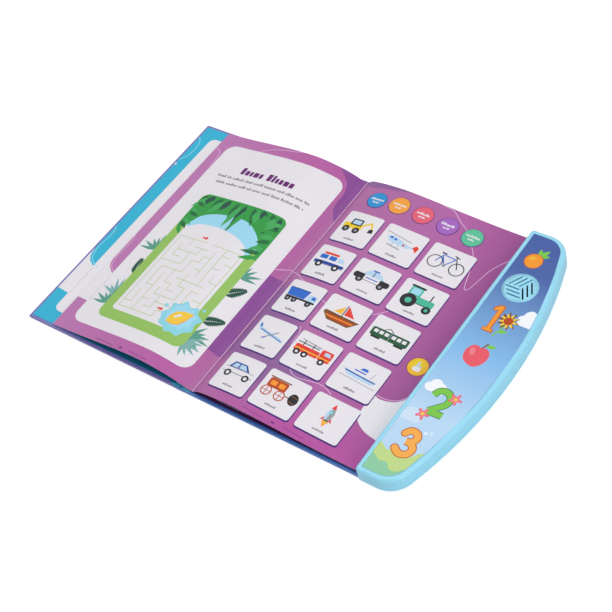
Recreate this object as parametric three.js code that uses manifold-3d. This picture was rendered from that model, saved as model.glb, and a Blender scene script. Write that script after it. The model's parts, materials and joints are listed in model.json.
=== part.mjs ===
// A talking picture book: two printed covers on a board spine, a block of pages,
// one turned leaf, and a plastic sound housing clamped to the edge of the back cover.
// Millimetres. X runs across the open book, Y up the page, Z up from the table.
// The origin is under the gutter, half way up the page.
import * as THREE from 'three';
import { mergeVertices } from 'three/addons/utils/BufferGeometryUtils.js';
import Module from 'manifold-3d';

const wasm = await Module();
wasm.setup();

// Covers
const COVER_HEIGHT = 285;
const BOARD_THICKNESS = 2.5;
const SPINE_WIDTH = 12;
const BACK_HINGE_X = -8.5;
const FRONT_BOARD_WIDTH = 187;
const HINGE_GAP = 0.3;
const ENDPAPER_THICKNESS = 0.5;
const ENDPAPER_MARGIN = 3;

// Pages
const PAGE_MARGIN = 2.5;
const PAGE_WIDTH = 178.6;
const PAGE_STACK = 2.4;
const PAGE_EDGE_RISE = 2.6;
const PAGE_HUMP_RISE = 9.6;
const GUTTER_RISE = 1.2;
const BOUND_EDGE_GAP = 0.6;
const LEAF_THICKNESS = 0.6;
const LEAF_REACH = 176.5;
const LEAF_HUMP_RISE = 12.5;
const PAGE_STEPS = 44;

// Touch sheet under the pages, with a flat tail into the housing
const SHEET_THICKNESS = 0.5;
const SHEET_MARGIN = 6;
const TAIL_WIDTH = 12;
const TAIL_Y = -88;

// Sound housing
const HOUSING_LEFT = 179.6;
const HOUSING_HALF_LENGTH = 144;
const HOUSING_BULGE = 62.4;
const HOUSING_RADIUS = 420;
const HOUSING_HEIGHT = 16;
const END_CORNER_RADIUS = 24;
const INNER_CORNER_RADIUS = 3.5;
const WALL = 2;
const FLOOR = 1.8;
const TOP_EDGE_RADIUS = 3;
const FOOT_CHAMFER = 0.8;
const PARTING_HEIGHT = 5;
const LIP_HEIGHT = 1.4;
const FIT_CLEARANCE = 0.3;
const TONGUE_LENGTH = 12;
const RIM = 4.8;
const OVERLAY_THICKNESS = 0.5;
const FILM_GAP = 0.02;
const RECESS_DEPTH = 0.6;
const TOP_PLATE = 1.8;

// Speaker and its grille
const GRILLE_X = 205;
const GRILLE_Y = 78.6;
const GRILLE_RADIUS = 16.3;
const SLOT_LENGTH = 12.5;
const SLOT_WIDTH = 1.5;
const SLOT_PITCH = 4;
const SLOT_STAGGER = 2.7;
const SLOTS_PER_SECTOR = 3;
const SECTORS = 3;
const SPEAKER_RADIUS = 18;
const SPEAKER_DEPTH = 6.5;
const GASKET_THICKNESS = 0.8;
const MAGNET_RADIUS = 8;
const MAGNET_HEIGHT = 2.6;

// Battery bay, in the middle of the base
const CELL_RADIUS = 5.2;
const CELL_LENGTH = 44;
const CELL_COUNT = 3;
const CELL_PITCH = 11;
const BAY_X = 213.5;
const BAY_Y = 12;
const BAY_WALL = 1.2;
const SPRING_SPACE = 4.5;
const DOOR_THICKNESS = 1.2;
const DOOR_OVERHANG = 2.5;
const DOOR_TAB_WIDTH = 16;
const DOOR_COLLAR_RADIUS = 3.9;
const DOOR_COLLAR_HEIGHT = 2.6;
const DOOR_BOSS_RADIUS = 5.4;
const DOOR_BOSS_TOP = 9;
const SPRING_WIRE = 0.35;
const SPRING_TURNS = 3;

// Circuit board
const BOARD_X = 208;
const BOARD_Y = -80;
const BOARD_WIDTH = 26;
const BOARD_LENGTH = 60;
const PCB_THICKNESS = 1.2;
const PCB_SEAT = 6;
const POST_RADIUS = 2.2;
const PIN_RADIUS = 1;
const LEAD_RADIUS = 0.6;
const LEAD_SLACK = 0.9;
const LEAD_FALL = 20;

// Parts on the circuit board, placed from its middle
const CHIP = { x: 0, y: -6, radius: 6, height: 1.8 };
const CAPACITOR = { x: 6, y: 17, radius: 3, height: 4.4 };
const RESONATOR = { x: -6, y: 18, width: 4, length: 8, height: 2.4 };
const CONNECTOR = { depth: 5, margin: 1 };

// Screws
const SCREW_HEAD_RADIUS = 2.4;
const SCREW_HEAD_HEIGHT = 1.2;
const SCREW_SHANK_RADIUS = 1.1;
const SCREW_LENGTH = 8;
const TONGUE_SCREW_LENGTH = 4.6;
const BOSS_RADIUS = 3.6;
const BOSS_STANDOFF = 1;
const SEAT_GAP = 0.1;
const TONGUE_BOSS_HEIGHT = 3.5;
const SHELL_SCREWS = [[206, -130], [206, 130], [231, -58], [231, 58], [200, -42], [200, 52]];

// Colours and finishes
const FINISH = {
  wrap: { color: 0x7b6fb5, roughness: 0.45, metalness: 0 },
  backWrap: { color: 0x3f74bd, roughness: 0.45, metalness: 0 },
  teal: { color: 0x44b5d5, roughness: 0.5, metalness: 0 },
  page: { color: 0xa65a9a, roughness: 0.5, metalness: 0 },
  sheet: { color: 0xd9dde0, roughness: 0.4, metalness: 0 },
  shell: { color: 0x9edff2, roughness: 0.35, metalness: 0 },
  overlay: { color: 0x6fa8dc, roughness: 0.3, metalness: 0 },
  darkPlastic: { color: 0x26282b, roughness: 0.6, metalness: 0 },
  cone: { color: 0x1c1c1e, roughness: 0.8, metalness: 0 },
  steel: { color: 0xb8bcc0, roughness: 0.35, metalness: 1 },
  board: { color: 0x1f6b3a, roughness: 0.5, metalness: 0 },
  cell: { color: 0x34383c, roughness: 0.35, metalness: 0.3 },
  red: { color: 0xb02a26, roughness: 0.5, metalness: 0 },
  black: { color: 0x141414, roughness: 0.5, metalness: 0 },
  foam: { color: 0x3a3a3a, roughness: 0.95, metalness: 0 },
};

// Shape tools

function toSolid(geometry) {
  const bare = geometry.clone();
  bare.deleteAttribute('normal');
  bare.deleteAttribute('uv');
  const merged = mergeVertices(bare, 1e-4);
  return new wasm.Manifold(new wasm.Mesh({
    numProp: 3,
    vertProperties: new Float32Array(merged.attributes.position.array),
    triVerts: new Uint32Array(merged.index.array),
  }));
}

function toGeometry(solid) {
  const mesh = solid.getMesh();
  const geometry = new THREE.BufferGeometry();
  geometry.setAttribute('position', new THREE.BufferAttribute(mesh.vertProperties, 3));
  geometry.setIndex(new THREE.BufferAttribute(mesh.triVerts, 1));
  return geometry;
}

function box(x0, x1, y0, y1, z0, z1) {
  const geometry = new THREE.BoxGeometry(x1 - x0, y1 - y0, z1 - z0);
  geometry.translate((x0 + x1) / 2, (y0 + y1) / 2, (z0 + z1) / 2);
  return geometry;
}

function disc(radius, x, y, z0, z1, sides = 32) {
  const geometry = new THREE.CylinderGeometry(radius, radius, z1 - z0, sides);
  geometry.rotateX(Math.PI / 2);
  geometry.translate(x, y, (z0 + z1) / 2);
  return geometry;
}

// The points of an outline, without the doubles where its arcs and lines meet.
function outlinePoints(shape, curveSegments) {
  const points = shape.extractPoints(curveSegments).shape;
  return points.filter((p, i) => p.distanceTo(points[(i + 1) % points.length]) > 1e-3);
}

function prism(shape, z0, z1, curveSegments = 6) {
  const outline = new THREE.Shape(outlinePoints(shape, curveSegments));
  const geometry = new THREE.ExtrudeGeometry(outline, { depth: z1 - z0, bevelEnabled: false });
  geometry.translate(0, 0, z0);
  return geometry;
}

// A sheet between two curves drawn in X and Z, carried along Y from -length/2 to length/2.
function sheetAlongY(lower, upper, length) {
  const vertices = [];
  const faces = [];
  const quad = (a, b, c, d) => faces.push(a, b, c, a, c, d);
  for (let i = 0; i < lower.length; i += 1) {
    for (const y of [-length / 2, length / 2]) {
      vertices.push(lower[i].x, y, lower[i].y, upper[i].x, y, upper[i].y);
    }
  }
  for (let i = 0; i + 1 < lower.length; i += 1) {
    const a = i * 4;
    const b = a + 4;
    quad(a + 1, b + 1, b + 3, a + 3);
    quad(a, a + 2, b + 2, b);
    quad(a, b, b + 1, a + 1);
    quad(a + 2, a + 3, b + 3, b + 2);
  }
  const end = (lower.length - 1) * 4;
  quad(0, 1, 3, 2);
  quad(end, end + 2, end + 3, end + 1);
  const geometry = new THREE.BufferGeometry();
  geometry.setAttribute('position', new THREE.Float32BufferAttribute(vertices, 3));
  geometry.setIndex(faces);
  return geometry;
}

function revolve(profile, x, y, sides = 32) {
  const points = profile.map(([radius, z]) => new THREE.Vector2(radius, z));
  const geometry = new THREE.LatheGeometry(points, sides);
  geometry.rotateX(Math.PI / 2);
  geometry.translate(x, y, 0);
  return geometry;
}

function tube(points, radius, sides = 6, steps = 24) {
  const section = new THREE.Shape();
  section.absarc(0, 0, radius, 0, Math.PI * 2, false);
  const path = new THREE.CatmullRomCurve3(points.map((p) => new THREE.Vector3(...p)));
  return new THREE.ExtrudeGeometry(section, {
    steps,
    curveSegments: sides / 2,
    bevelEnabled: false,
    extrudePath: path,
  });
}

// The outline of the housing seen from above, drawn in by an inset: straight along
// the pages, a long bow on the free side, and round corners.
function housingOutline(inset) {
  const left = HOUSING_LEFT + inset;
  const end = HOUSING_HALF_LENGTH - inset;
  const bow = HOUSING_RADIUS - inset;
  const corner = END_CORNER_RADIUS - inset;
  const small = Math.max(INNER_CORNER_RADIUS - inset, 0.8);
  const bowX = HOUSING_LEFT + HOUSING_BULGE - HOUSING_RADIUS;
  const cornerY = end - corner;
  const cornerX = bowX + Math.sqrt((bow - corner) ** 2 - cornerY ** 2);
  const turn = Math.atan2(cornerY, cornerX - bowX);
  const shape = new THREE.Shape();
  shape.moveTo(left + small, -end);
  shape.lineTo(cornerX, -end);
  shape.absarc(cornerX, -cornerY, corner, -Math.PI / 2, -turn, false);
  shape.absarc(bowX, 0, bow, -turn, turn, false);
  shape.absarc(cornerX, cornerY, corner, turn, Math.PI / 2, false);
  shape.lineTo(left + small, end);
  shape.absarc(left + small, end - small, small, Math.PI / 2, Math.PI, false);
  shape.lineTo(left, -end + small);
  shape.absarc(left + small, -end + small, small, Math.PI, Math.PI * 1.5, false);
  return shape;
}

// A closed loft through copies of the housing outline, one for each [inset, height].
function housingLoft(levels, curveSegments = 7) {
  const rings = levels.map(([inset]) => outlinePoints(housingOutline(inset), curveSegments));
  const count = rings[0].length;
  const vertices = [];
  rings.forEach((ring, level) => ring.forEach((p) => vertices.push(p.x, p.y, levels[level][1])));
  const faces = [];
  for (let level = 0; level + 1 < rings.length; level += 1) {
    for (let i = 0; i < count; i += 1) {
      const j = (i + 1) % count;
      const low = level * count;
      const high = low + count;
      faces.push(low + i, low + j, high + j, low + i, high + j, high + i);
    }
  }
  const top = (rings.length - 1) * count;
  for (const [a, b, c] of THREE.ShapeUtils.triangulateShape(rings[0], [])) faces.push(c, b, a);
  for (const [a, b, c] of THREE.ShapeUtils.triangulateShape(rings[rings.length - 1], [])) {
    faces.push(top + a, top + b, top + c);
  }
  const geometry = new THREE.BufferGeometry();
  geometry.setAttribute('position', new THREE.Float32BufferAttribute(vertices, 3));
  geometry.setIndex(faces);
  return geometry;
}

function addPart(name, geometry, finish, group) {
  const mesh = new THREE.Mesh(geometry, new THREE.MeshStandardMaterial(FINISH[finish]));
  mesh.name = name;
  group.add(mesh);
  return mesh;
}

// Covers

const FRONT_HINGE_X = BACK_HINGE_X - SPINE_WIDTH;
const HALF_HEIGHT = COVER_HEIGHT / 2;
const HALF_GAP = HINGE_GAP / 2;
const TONGUE_END = HOUSING_LEFT + TONGUE_LENGTH;
const TONGUE_SCREW_X = HOUSING_LEFT + WALL + BOSS_RADIUS + BOSS_STANDOFF;
const TONGUE_SCREW_YS = [-112, -30, 30, 112];

function coverBoard(x0, x1) {
  return box(x0, x1, -HALF_HEIGHT, HALF_HEIGHT, 0, BOARD_THICKNESS);
}

function backCoverBoard() {
  let board = toSolid(coverBoard(BACK_HINGE_X + HALF_GAP, TONGUE_END));
  for (const y of TONGUE_SCREW_YS) {
    const sink = SCREW_HEAD_HEIGHT + FIT_CLEARANCE;
    const head = disc(SCREW_HEAD_RADIUS + FIT_CLEARANCE, TONGUE_SCREW_X, y, -1, sink, 16);
    const shank = disc(SCREW_SHANK_RADIUS + FIT_CLEARANCE, TONGUE_SCREW_X, y, 0, BOARD_THICKNESS + 1, 12);
    board = board.subtract(toSolid(head)).subtract(toSolid(shank));
  }
  return toGeometry(board);
}

function buildCovers(group) {
  addPart('back_cover_board', backCoverBoard(), 'backWrap', group);
  addPart('spine_board', coverBoard(FRONT_HINGE_X + HALF_GAP, BACK_HINGE_X - HALF_GAP), 'backWrap', group);
  const frontEdge = FRONT_HINGE_X - FRONT_BOARD_WIDTH;
  addPart('front_cover_board', coverBoard(frontEdge, FRONT_HINGE_X - HALF_GAP), 'wrap', group);
  addPart('front_endpaper', box(
    frontEdge + ENDPAPER_MARGIN,
    FRONT_HINGE_X - HINGE_GAP,
    -HALF_HEIGHT + ENDPAPER_MARGIN,
    HALF_HEIGHT - ENDPAPER_MARGIN,
    BOARD_THICKNESS,
    BOARD_THICKNESS + ENDPAPER_THICKNESS,
  ), 'teal', group);
}

// Touch sheet and pages

const SHEET_TOP = BOARD_THICKNESS + SHEET_THICKNESS;
const PAGE_FLOOR = SHEET_TOP + 0.02;
const PAGE_HEIGHT = COVER_HEIGHT - 2 * PAGE_MARGIN;
const BOUND_EDGE_X = BACK_HINGE_X + BOUND_EDGE_GAP;
const TAIL_END = BOARD_X - BOARD_WIDTH / 2 - FIT_CLEARANCE;

// Shares of the page's width, and of its rise from the fore edge to the hump.
const PAGE_CURVE = [
  [0.035, 0.42], [0.1, 0.76], [0.2, 0.98], [0.3, 1],
  [0.46, 0.76], [0.65, 0.4], [0.83, 0.12], [1, 0],
];
const LEAF_CURVE = [
  [0.09, 0.38], [0.18, 0.74], [0.32, 1], [0.48, 0.9],
  [0.65, 0.6], [0.83, 0.25], [1, 0],
];

function touchSheet() {
  const half = HALF_HEIGHT - SHEET_MARGIN;
  const right = HOUSING_LEFT - FIT_CLEARANCE;
  const shape = new THREE.Shape();
  shape.moveTo(BOUND_EDGE_X, -half);
  shape.lineTo(right, -half);
  shape.lineTo(right, TAIL_Y - TAIL_WIDTH / 2);
  shape.lineTo(TAIL_END, TAIL_Y - TAIL_WIDTH / 2);
  shape.lineTo(TAIL_END, TAIL_Y + TAIL_WIDTH / 2);
  shape.lineTo(right, TAIL_Y + TAIL_WIDTH / 2);
  shape.lineTo(right, half);
  shape.lineTo(BOUND_EDGE_X, half);
  return prism(shape, BOARD_THICKNESS, SHEET_TOP);
}

// Points of a page curve: its bound end, then shares of the width and of the rise to the hump.
function pageCurve(start, curve, width, edgeRise, humpRise) {
  const rise = humpRise - edgeRise;
  const points = curve.map(([across, up]) => new THREE.Vector2(across * width, edgeRise + up * rise));
  return new THREE.SplineCurve([start, ...points]).getPoints(PAGE_STEPS);
}

function pageBlock() {
  const start = new THREE.Vector2(0, GUTTER_RISE);
  const curve = pageCurve(start, PAGE_CURVE, PAGE_WIDTH, PAGE_EDGE_RISE, PAGE_HUMP_RISE);
  curve.unshift(new THREE.Vector2(BOUND_EDGE_X, GUTTER_RISE));
  const upper = curve.map((p) => new THREE.Vector2(p.x, PAGE_FLOOR + p.y));
  const lower = curve.map((p) => new THREE.Vector2(p.x, PAGE_FLOOR + Math.max(p.y - PAGE_STACK, 0)));
  return sheetAlongY(lower, upper, PAGE_HEIGHT);
}

function turnedLeaf() {
  const floor = BOARD_THICKNESS + ENDPAPER_THICKNESS + FIT_CLEARANCE;
  const boundX = -BOUND_EDGE_X + FIT_CLEARANCE;
  const start = new THREE.Vector2(boundX, GUTTER_RISE + PAGE_FLOOR - floor + FIT_CLEARANCE);
  const curve = pageCurve(start, LEAF_CURVE, LEAF_REACH, 0, LEAF_HUMP_RISE).reverse();
  const lower = curve.map((p) => new THREE.Vector2(-p.x, floor + p.y));
  const upper = lower.map((p) => new THREE.Vector2(p.x, p.y + LEAF_THICKNESS));
  return sheetAlongY(lower, upper, PAGE_HEIGHT);
}

function buildPages(group) {
  addPart('touch_sensor_sheet', touchSheet(), 'sheet', group);
  addPart('page_block', pageBlock(), 'page', group);
  addPart('turned_leaf', turnedLeaf(), 'page', group);
}

// Housing shells

const LIP_WALL = WALL / 2;
const PLATE_UNDER = HOUSING_HEIGHT - RECESS_DEPTH - TOP_PLATE;
const RECESS_FLOOR = HOUSING_HEIGHT - RECESS_DEPTH;
const STEP_TOP = BOARD_THICKNESS + FLOOR;
const STEP_END = TONGUE_END + FIT_CLEARANCE;
const BAY_WIDTH = CELL_COUNT * CELL_PITCH;
const BAY_LENGTH = CELL_LENGTH + SPRING_SPACE;
const BAY_FLOOR = DOOR_THICKNESS + FIT_CLEARANCE;
const BAY_ROOF = BAY_FLOOR + 2 * CELL_RADIUS + FIT_CLEARANCE;
const BOSS_FOOT = FLOOR + SCREW_HEAD_HEIGHT;
const CELL_Z = BAY_FLOOR + CELL_RADIUS;
const PCB_TOP = PCB_SEAT + SEAT_GAP + PCB_THICKNESS;

// A stack of outlines for the outside, with a chamfered foot or a rounded top edge.
function topEdgeLevels() {
  const steps = 5;
  const levels = [[0, PARTING_HEIGHT]];
  for (let i = 0; i <= steps; i += 1) {
    const angle = (i / steps) * (Math.PI / 2);
    const inset = TOP_EDGE_RADIUS * (1 - Math.cos(angle));
    levels.push([inset, HOUSING_HEIGHT - TOP_EDGE_RADIUS * (1 - Math.sin(angle))]);
  }
  return levels;
}

function grilleSlot(sector, index) {
  const y = -SLOT_PITCH * (index + 0.5);
  const x = -SLOT_LENGTH - 0.5 + SLOT_STAGGER * index;
  const end = SLOT_WIDTH / 2;
  const shape = new THREE.Shape();
  shape.moveTo(x, y - end);
  shape.lineTo(x + SLOT_LENGTH, y - end);
  shape.absarc(x + SLOT_LENGTH, y, end, -Math.PI / 2, Math.PI / 2, false);
  shape.lineTo(x, y + end);
  shape.absarc(x, y, end, Math.PI / 2, Math.PI * 1.5, false);
  const slot = prism(shape, PLATE_UNDER - 1, HOUSING_HEIGHT + 1, 4);
  slot.rotateZ((sector / SECTORS) * Math.PI * 2);
  slot.translate(GRILLE_X, GRILLE_Y, 0);
  return slot;
}

function grilleSlots() {
  const slots = [];
  for (let sector = 0; sector < SECTORS; sector += 1) {
    for (let index = 0; index < SLOTS_PER_SECTOR; index += 1) slots.push(grilleSlot(sector, index));
  }
  return slots;
}

function upperShell() {
  const cavityTop = PLATE_UNDER;
  let shell = toSolid(housingLoft(topEdgeLevels()));
  shell = shell.subtract(toSolid(prism(housingOutline(WALL), PARTING_HEIGHT - 1, cavityTop)));
  const lipTop = PARTING_HEIGHT + LIP_HEIGHT + FIT_CLEARANCE;
  const lipRoom = prism(housingOutline(LIP_WALL), PARTING_HEIGHT - 1, lipTop);
  shell = shell.subtract(toSolid(lipRoom));
  const island = toSolid(disc(GRILLE_RADIUS, GRILLE_X, GRILLE_Y, RECESS_FLOOR - 1, HOUSING_HEIGHT + 1, 48));
  const hollow = toSolid(prism(housingOutline(RIM), RECESS_FLOOR, HOUSING_HEIGHT + 1));
  const recess = hollow.subtract(island);
  shell = shell.subtract(recess);
  for (const [x, y] of SHELL_SCREWS) {
    const foot = BOSS_FOOT + FIT_CLEARANCE + WALL;
    shell = shell.add(toSolid(disc(BOSS_RADIUS, x, y, foot, cavityTop + 0.5, 20)));
  }
  const ringFoot = cavityTop - SPEAKER_DEPTH / 2;
  const collar = toSolid(disc(SPEAKER_RADIUS + WALL, GRILLE_X, GRILLE_Y, ringFoot, cavityTop + 0.5, 40));
  const seat = toSolid(disc(SPEAKER_RADIUS + FIT_CLEARANCE, GRILLE_X, GRILLE_Y, 0, cavityTop, 40));
  shell = shell.add(collar.subtract(seat));
  for (const [x, y] of SHELL_SCREWS) {
    shell = shell.subtract(toSolid(disc(SCREW_SHANK_RADIUS + FIT_CLEARANCE, x, y, 0, cavityTop, 12)));
  }
  for (const slot of grilleSlots()) shell = shell.subtract(toSolid(slot));
  return toGeometry(shell);
}

function baseShell() {
  const foot = [[FOOT_CHAMFER, 0], [0, FOOT_CHAMFER], [0, PARTING_HEIGHT]];
  let base = toSolid(housingLoft(foot));
  const lip = prism(housingOutline(LIP_WALL + FIT_CLEARANCE), FOOT_CHAMFER, PARTING_HEIGHT + LIP_HEIGHT);
  base = base.add(toSolid(lip));
  base = base.subtract(toSolid(prism(housingOutline(WALL + FIT_CLEARANCE), FLOOR, HOUSING_HEIGHT)));
  const half = HOUSING_HALF_LENGTH + 1;
  const step = toSolid(prism(housingOutline(WALL), FLOOR / 2, STEP_TOP))
    .intersect(toSolid(box(HOUSING_LEFT, STEP_END + WALL, -half, half, 0, STEP_TOP)));
  base = base.add(step);
  const slotHalf = HALF_HEIGHT + FIT_CLEARANCE;
  base = base.subtract(toSolid(
    box(HOUSING_LEFT - 1, STEP_END, -slotHalf, slotHalf, -1, BOARD_THICKNESS),
  ));
  const tailHalf = TAIL_WIDTH / 2 + FIT_CLEARANCE;
  const tailTop = SHEET_TOP + FIT_CLEARANCE;
  const tailFoot = BOARD_THICKNESS - 1;
  base = base.subtract(toSolid(
    box(HOUSING_LEFT - 1, STEP_END + WALL + 1, TAIL_Y - tailHalf, TAIL_Y + tailHalf, tailFoot, tailTop),
  ));
  base = base.add(toSolid(bayBox(BAY_WALL, FLOOR / 2, BAY_ROOF + BAY_WALL)));
  for (const y of TONGUE_SCREW_YS) {
    const top = STEP_TOP + TONGUE_BOSS_HEIGHT;
    base = base.add(toSolid(disc(BOSS_RADIUS, TONGUE_SCREW_X, y, BOARD_THICKNESS, top, 20)));
  }
  for (const [x, y] of SHELL_SCREWS) {
    base = base.add(toSolid(disc(BOSS_RADIUS, x, y, FLOOR / 2, BOSS_FOOT + WALL, 20)));
  }
  for (const [x, y] of postPlaces()) {
    base = base.add(toSolid(disc(POST_RADIUS, x, y, FLOOR / 2, PCB_SEAT, 16)));
    base = base.add(toSolid(disc(PIN_RADIUS, x, y, FLOOR / 2, PCB_TOP + PIN_RADIUS, 12)));
  }
  base = base.add(toSolid(disc(DOOR_BOSS_RADIUS, BAY_X, DOOR_SCREW_Y, FLOOR / 2, DOOR_BOSS_TOP, 24)));
  return toGeometry(base.subtract(baseOpenings()));
}

// The bay is a box on the floor that opens downwards.
const BAY = {
  x0: BAY_X - BAY_WIDTH / 2,
  x1: BAY_X + BAY_WIDTH / 2,
  y0: BAY_Y - BAY_LENGTH / 2,
  y1: BAY_Y + BAY_LENGTH / 2,
};
const DOOR_SCREW_Y = BAY.y0 - BAY_WALL - DOOR_BOSS_RADIUS * 0.85;

function bayBox(grow, z0, z1) {
  return box(BAY.x0 - grow, BAY.x1 + grow, BAY.y0 - grow, BAY.y1 + grow, z0, z1);
}

function postPlaces() {
  const dx = BOARD_WIDTH / 2 - POST_RADIUS - 1;
  const dy = BOARD_LENGTH / 2 - POST_RADIUS - 1;
  return [[-dx, -dy], [dx, -dy], [-dx, dy], [dx, dy]].map(([x, y]) => [BOARD_X + x, BOARD_Y + y]);
}

function doorOutline(grow, z0, z1) {
  const half = DOOR_TAB_WIDTH / 2 + grow;
  const tabEnd = DOOR_SCREW_Y - DOOR_COLLAR_RADIUS - 0.5 - grow;
  const tab = box(BAY_X - half, BAY_X + half, tabEnd, BAY.y0, z0, z1);
  return toSolid(bayBox(DOOR_OVERHANG + grow, z0, z1)).add(toSolid(tab));
}

function baseOpenings() {
  let cut = toSolid(bayBox(0, -1, BAY_ROOF));
  const hole = LEAD_RADIUS + FIT_CLEARANCE;
  cut = cut.add(toSolid(box(cellX(0) - hole, cellX(0) + hole, BAY.y0 - BAY_WALL - 1, BAY.y0 + 1,
    CELL_Z - hole, CELL_Z + hole)));
  cut = cut.add(toSolid(box(cellX(2) - hole, cellX(2) + hole, BAY.y1 - 1, BAY.y1 + BAY_WALL + 1,
    CELL_Z - hole, CELL_Z + hole)));
  cut = cut.add(doorOutline(FIT_CLEARANCE, -1, DOOR_THICKNESS));
  const shank = SCREW_SHANK_RADIUS + FIT_CLEARANCE;
  const collarTop = DOOR_COLLAR_HEIGHT + FIT_CLEARANCE;
  const collar = DOOR_COLLAR_RADIUS + FIT_CLEARANCE;
  cut = cut.add(toSolid(disc(collar, BAY_X, DOOR_SCREW_Y, -1, collarTop, 24)));
  cut = cut.add(toSolid(disc(shank, BAY_X, DOOR_SCREW_Y, 0, DOOR_BOSS_TOP - 1, 12)));
  for (const [x, y] of SHELL_SCREWS) {
    cut = cut.add(toSolid(disc(SCREW_HEAD_RADIUS + FIT_CLEARANCE, x, y, -1, BOSS_FOOT, 20)));
    cut = cut.add(toSolid(disc(shank, x, y, 0, BOSS_FOOT + WALL + 1, 12)));
  }
  for (const y of TONGUE_SCREW_YS) {
    const depth = STEP_TOP + TONGUE_BOSS_HEIGHT - 0.5;
    cut = cut.add(toSolid(disc(shank, TONGUE_SCREW_X, y, 0, depth, 12)));
  }
  return cut;
}

function overlayFilm() {
  const film = toSolid(prism(housingOutline(RIM + SEAT_GAP), RECESS_FLOOR + FILM_GAP,
    RECESS_FLOOR + FILM_GAP + OVERLAY_THICKNESS));
  const hole = toSolid(disc(GRILLE_RADIUS + SEAT_GAP, GRILLE_X, GRILLE_Y, 0, HOUSING_HEIGHT + 1, 48));
  return toGeometry(film.subtract(hole));
}

function batteryDoor() {
  let door = doorOutline(0, 0, DOOR_THICKNESS);
  door = door.add(toSolid(disc(DOOR_COLLAR_RADIUS, BAY_X, DOOR_SCREW_Y, 0, DOOR_COLLAR_HEIGHT, 24)));
  door = door.subtract(toSolid(disc(SCREW_HEAD_RADIUS + FIT_CLEARANCE, BAY_X, DOOR_SCREW_Y, -1,
    SCREW_HEAD_HEIGHT + FIT_CLEARANCE, 20)));
  const shank = SCREW_SHANK_RADIUS + FIT_CLEARANCE;
  door = door.subtract(toSolid(disc(shank, BAY_X, DOOR_SCREW_Y, 0, DOOR_COLLAR_HEIGHT + 1, 12)));
  return toGeometry(door);
}

function screw(x, y, seat, length) {
  const top = seat - SEAT_GAP;
  const foot = top - SCREW_HEAD_HEIGHT;
  return revolve([
    [0, foot],
    [SCREW_HEAD_RADIUS * 0.8, foot],
    [SCREW_HEAD_RADIUS, foot + SCREW_HEAD_HEIGHT / 3],
    [SCREW_HEAD_RADIUS, top],
    [SCREW_SHANK_RADIUS, top],
    [SCREW_SHANK_RADIUS, top + length - SCREW_SHANK_RADIUS],
    [0, top + length],
  ], x, y, 12);
}

function buildHousing(group) {
  addPart('housing_upper', upperShell(), 'shell', group);
  addPart('housing_base', baseShell(), 'shell', group);
  addPart('printed_overlay', overlayFilm(), 'overlay', group);
  addPart('battery_door', batteryDoor(), 'shell', group);
  const doorSeat = SCREW_HEAD_HEIGHT + FIT_CLEARANCE;
  addPart('battery_door_screw', screw(BAY_X, DOOR_SCREW_Y, doorSeat, SCREW_LENGTH - 2), 'steel', group);
  SHELL_SCREWS.forEach(([x, y], index) => {
    addPart(`housing_screw_${index + 1}`, screw(x, y, BOSS_FOOT, SCREW_LENGTH), 'steel', group);
  });
  TONGUE_SCREW_YS.forEach((y, index) => {
    const fastener = screw(TONGUE_SCREW_X, y, doorSeat, TONGUE_SCREW_LENGTH);
    addPart(`cover_screw_${index + 1}`, fastener, 'steel', group);
  });
}

// Speaker

const SPEAKER_TOP = PLATE_UNDER - GASKET_THICKNESS;
const SPEAKER_FOOT = SPEAKER_TOP - SPEAKER_DEPTH;
const FLANGE_INNER = SPEAKER_RADIUS * 0.84;

function speakerFrame() {
  const thick = 1;
  return revolve([
    [0, SPEAKER_FOOT],
    [MAGNET_RADIUS + thick, SPEAKER_FOOT],
    [FLANGE_INNER, SPEAKER_TOP - thick],
    [SPEAKER_RADIUS, SPEAKER_TOP - thick],
    [SPEAKER_RADIUS, SPEAKER_TOP],
    [FLANGE_INNER - thick, SPEAKER_TOP],
    [MAGNET_RADIUS, SPEAKER_FOOT + thick],
    [0, SPEAKER_FOOT + thick],
  ], GRILLE_X, GRILLE_Y);
}

function speakerCone() {
  const skin = 0.4;
  const rim = SPEAKER_TOP + SEAT_GAP;
  const deep = SPEAKER_FOOT + 3;
  return revolve([
    [0, deep + 1],
    [3, deep],
    [FLANGE_INNER - 3, rim - 0.8],
    [FLANGE_INNER - 1.4, rim],
    [FLANGE_INNER, rim],
    [FLANGE_INNER, rim + skin],
    [FLANGE_INNER - 1.6, rim + skin],
    [FLANGE_INNER - 3.4, rim - 0.8 + skin],
    [3, deep + skin],
    [0, deep + 1 + skin],
  ], GRILLE_X, GRILLE_Y);
}

function speakerGasket() {
  const inner = FLANGE_INNER + SEAT_GAP;
  const low = SPEAKER_TOP + SEAT_GAP;
  const high = PLATE_UNDER - SEAT_GAP;
  return revolve([
    [inner, low],
    [SPEAKER_RADIUS, low],
    [SPEAKER_RADIUS, high],
    [inner, high],
    [inner, low],
  ], GRILLE_X, GRILLE_Y);
}

function buildSpeaker(group) {
  addPart('speaker_frame', speakerFrame(), 'darkPlastic', group);
  addPart('speaker_cone', speakerCone(), 'cone', group);
  addPart('speaker_gasket', speakerGasket(), 'foam', group);
  const magnetTop = SPEAKER_FOOT - SEAT_GAP;
  const magnet = disc(MAGNET_RADIUS, GRILLE_X, GRILLE_Y, magnetTop - MAGNET_HEIGHT, magnetTop);
  addPart('speaker_magnet', magnet, 'steel', group);
}

// Batteries and contacts

const PLATE_THICKNESS = 0.4;
const NUB_LENGTH = 0.8;
const CELL_FRONT = BAY_LENGTH / 2 - SEAT_GAP - PLATE_THICKNESS - SEAT_GAP;

function cellX(index) {
  return BAY_X + (index - (CELL_COUNT - 1) / 2) * CELL_PITCH;
}

// Cells lie side by side and point up and down the page in turn.
function cellSide(index) {
  return index % 2 === 0 ? 1 : -1;
}

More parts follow.
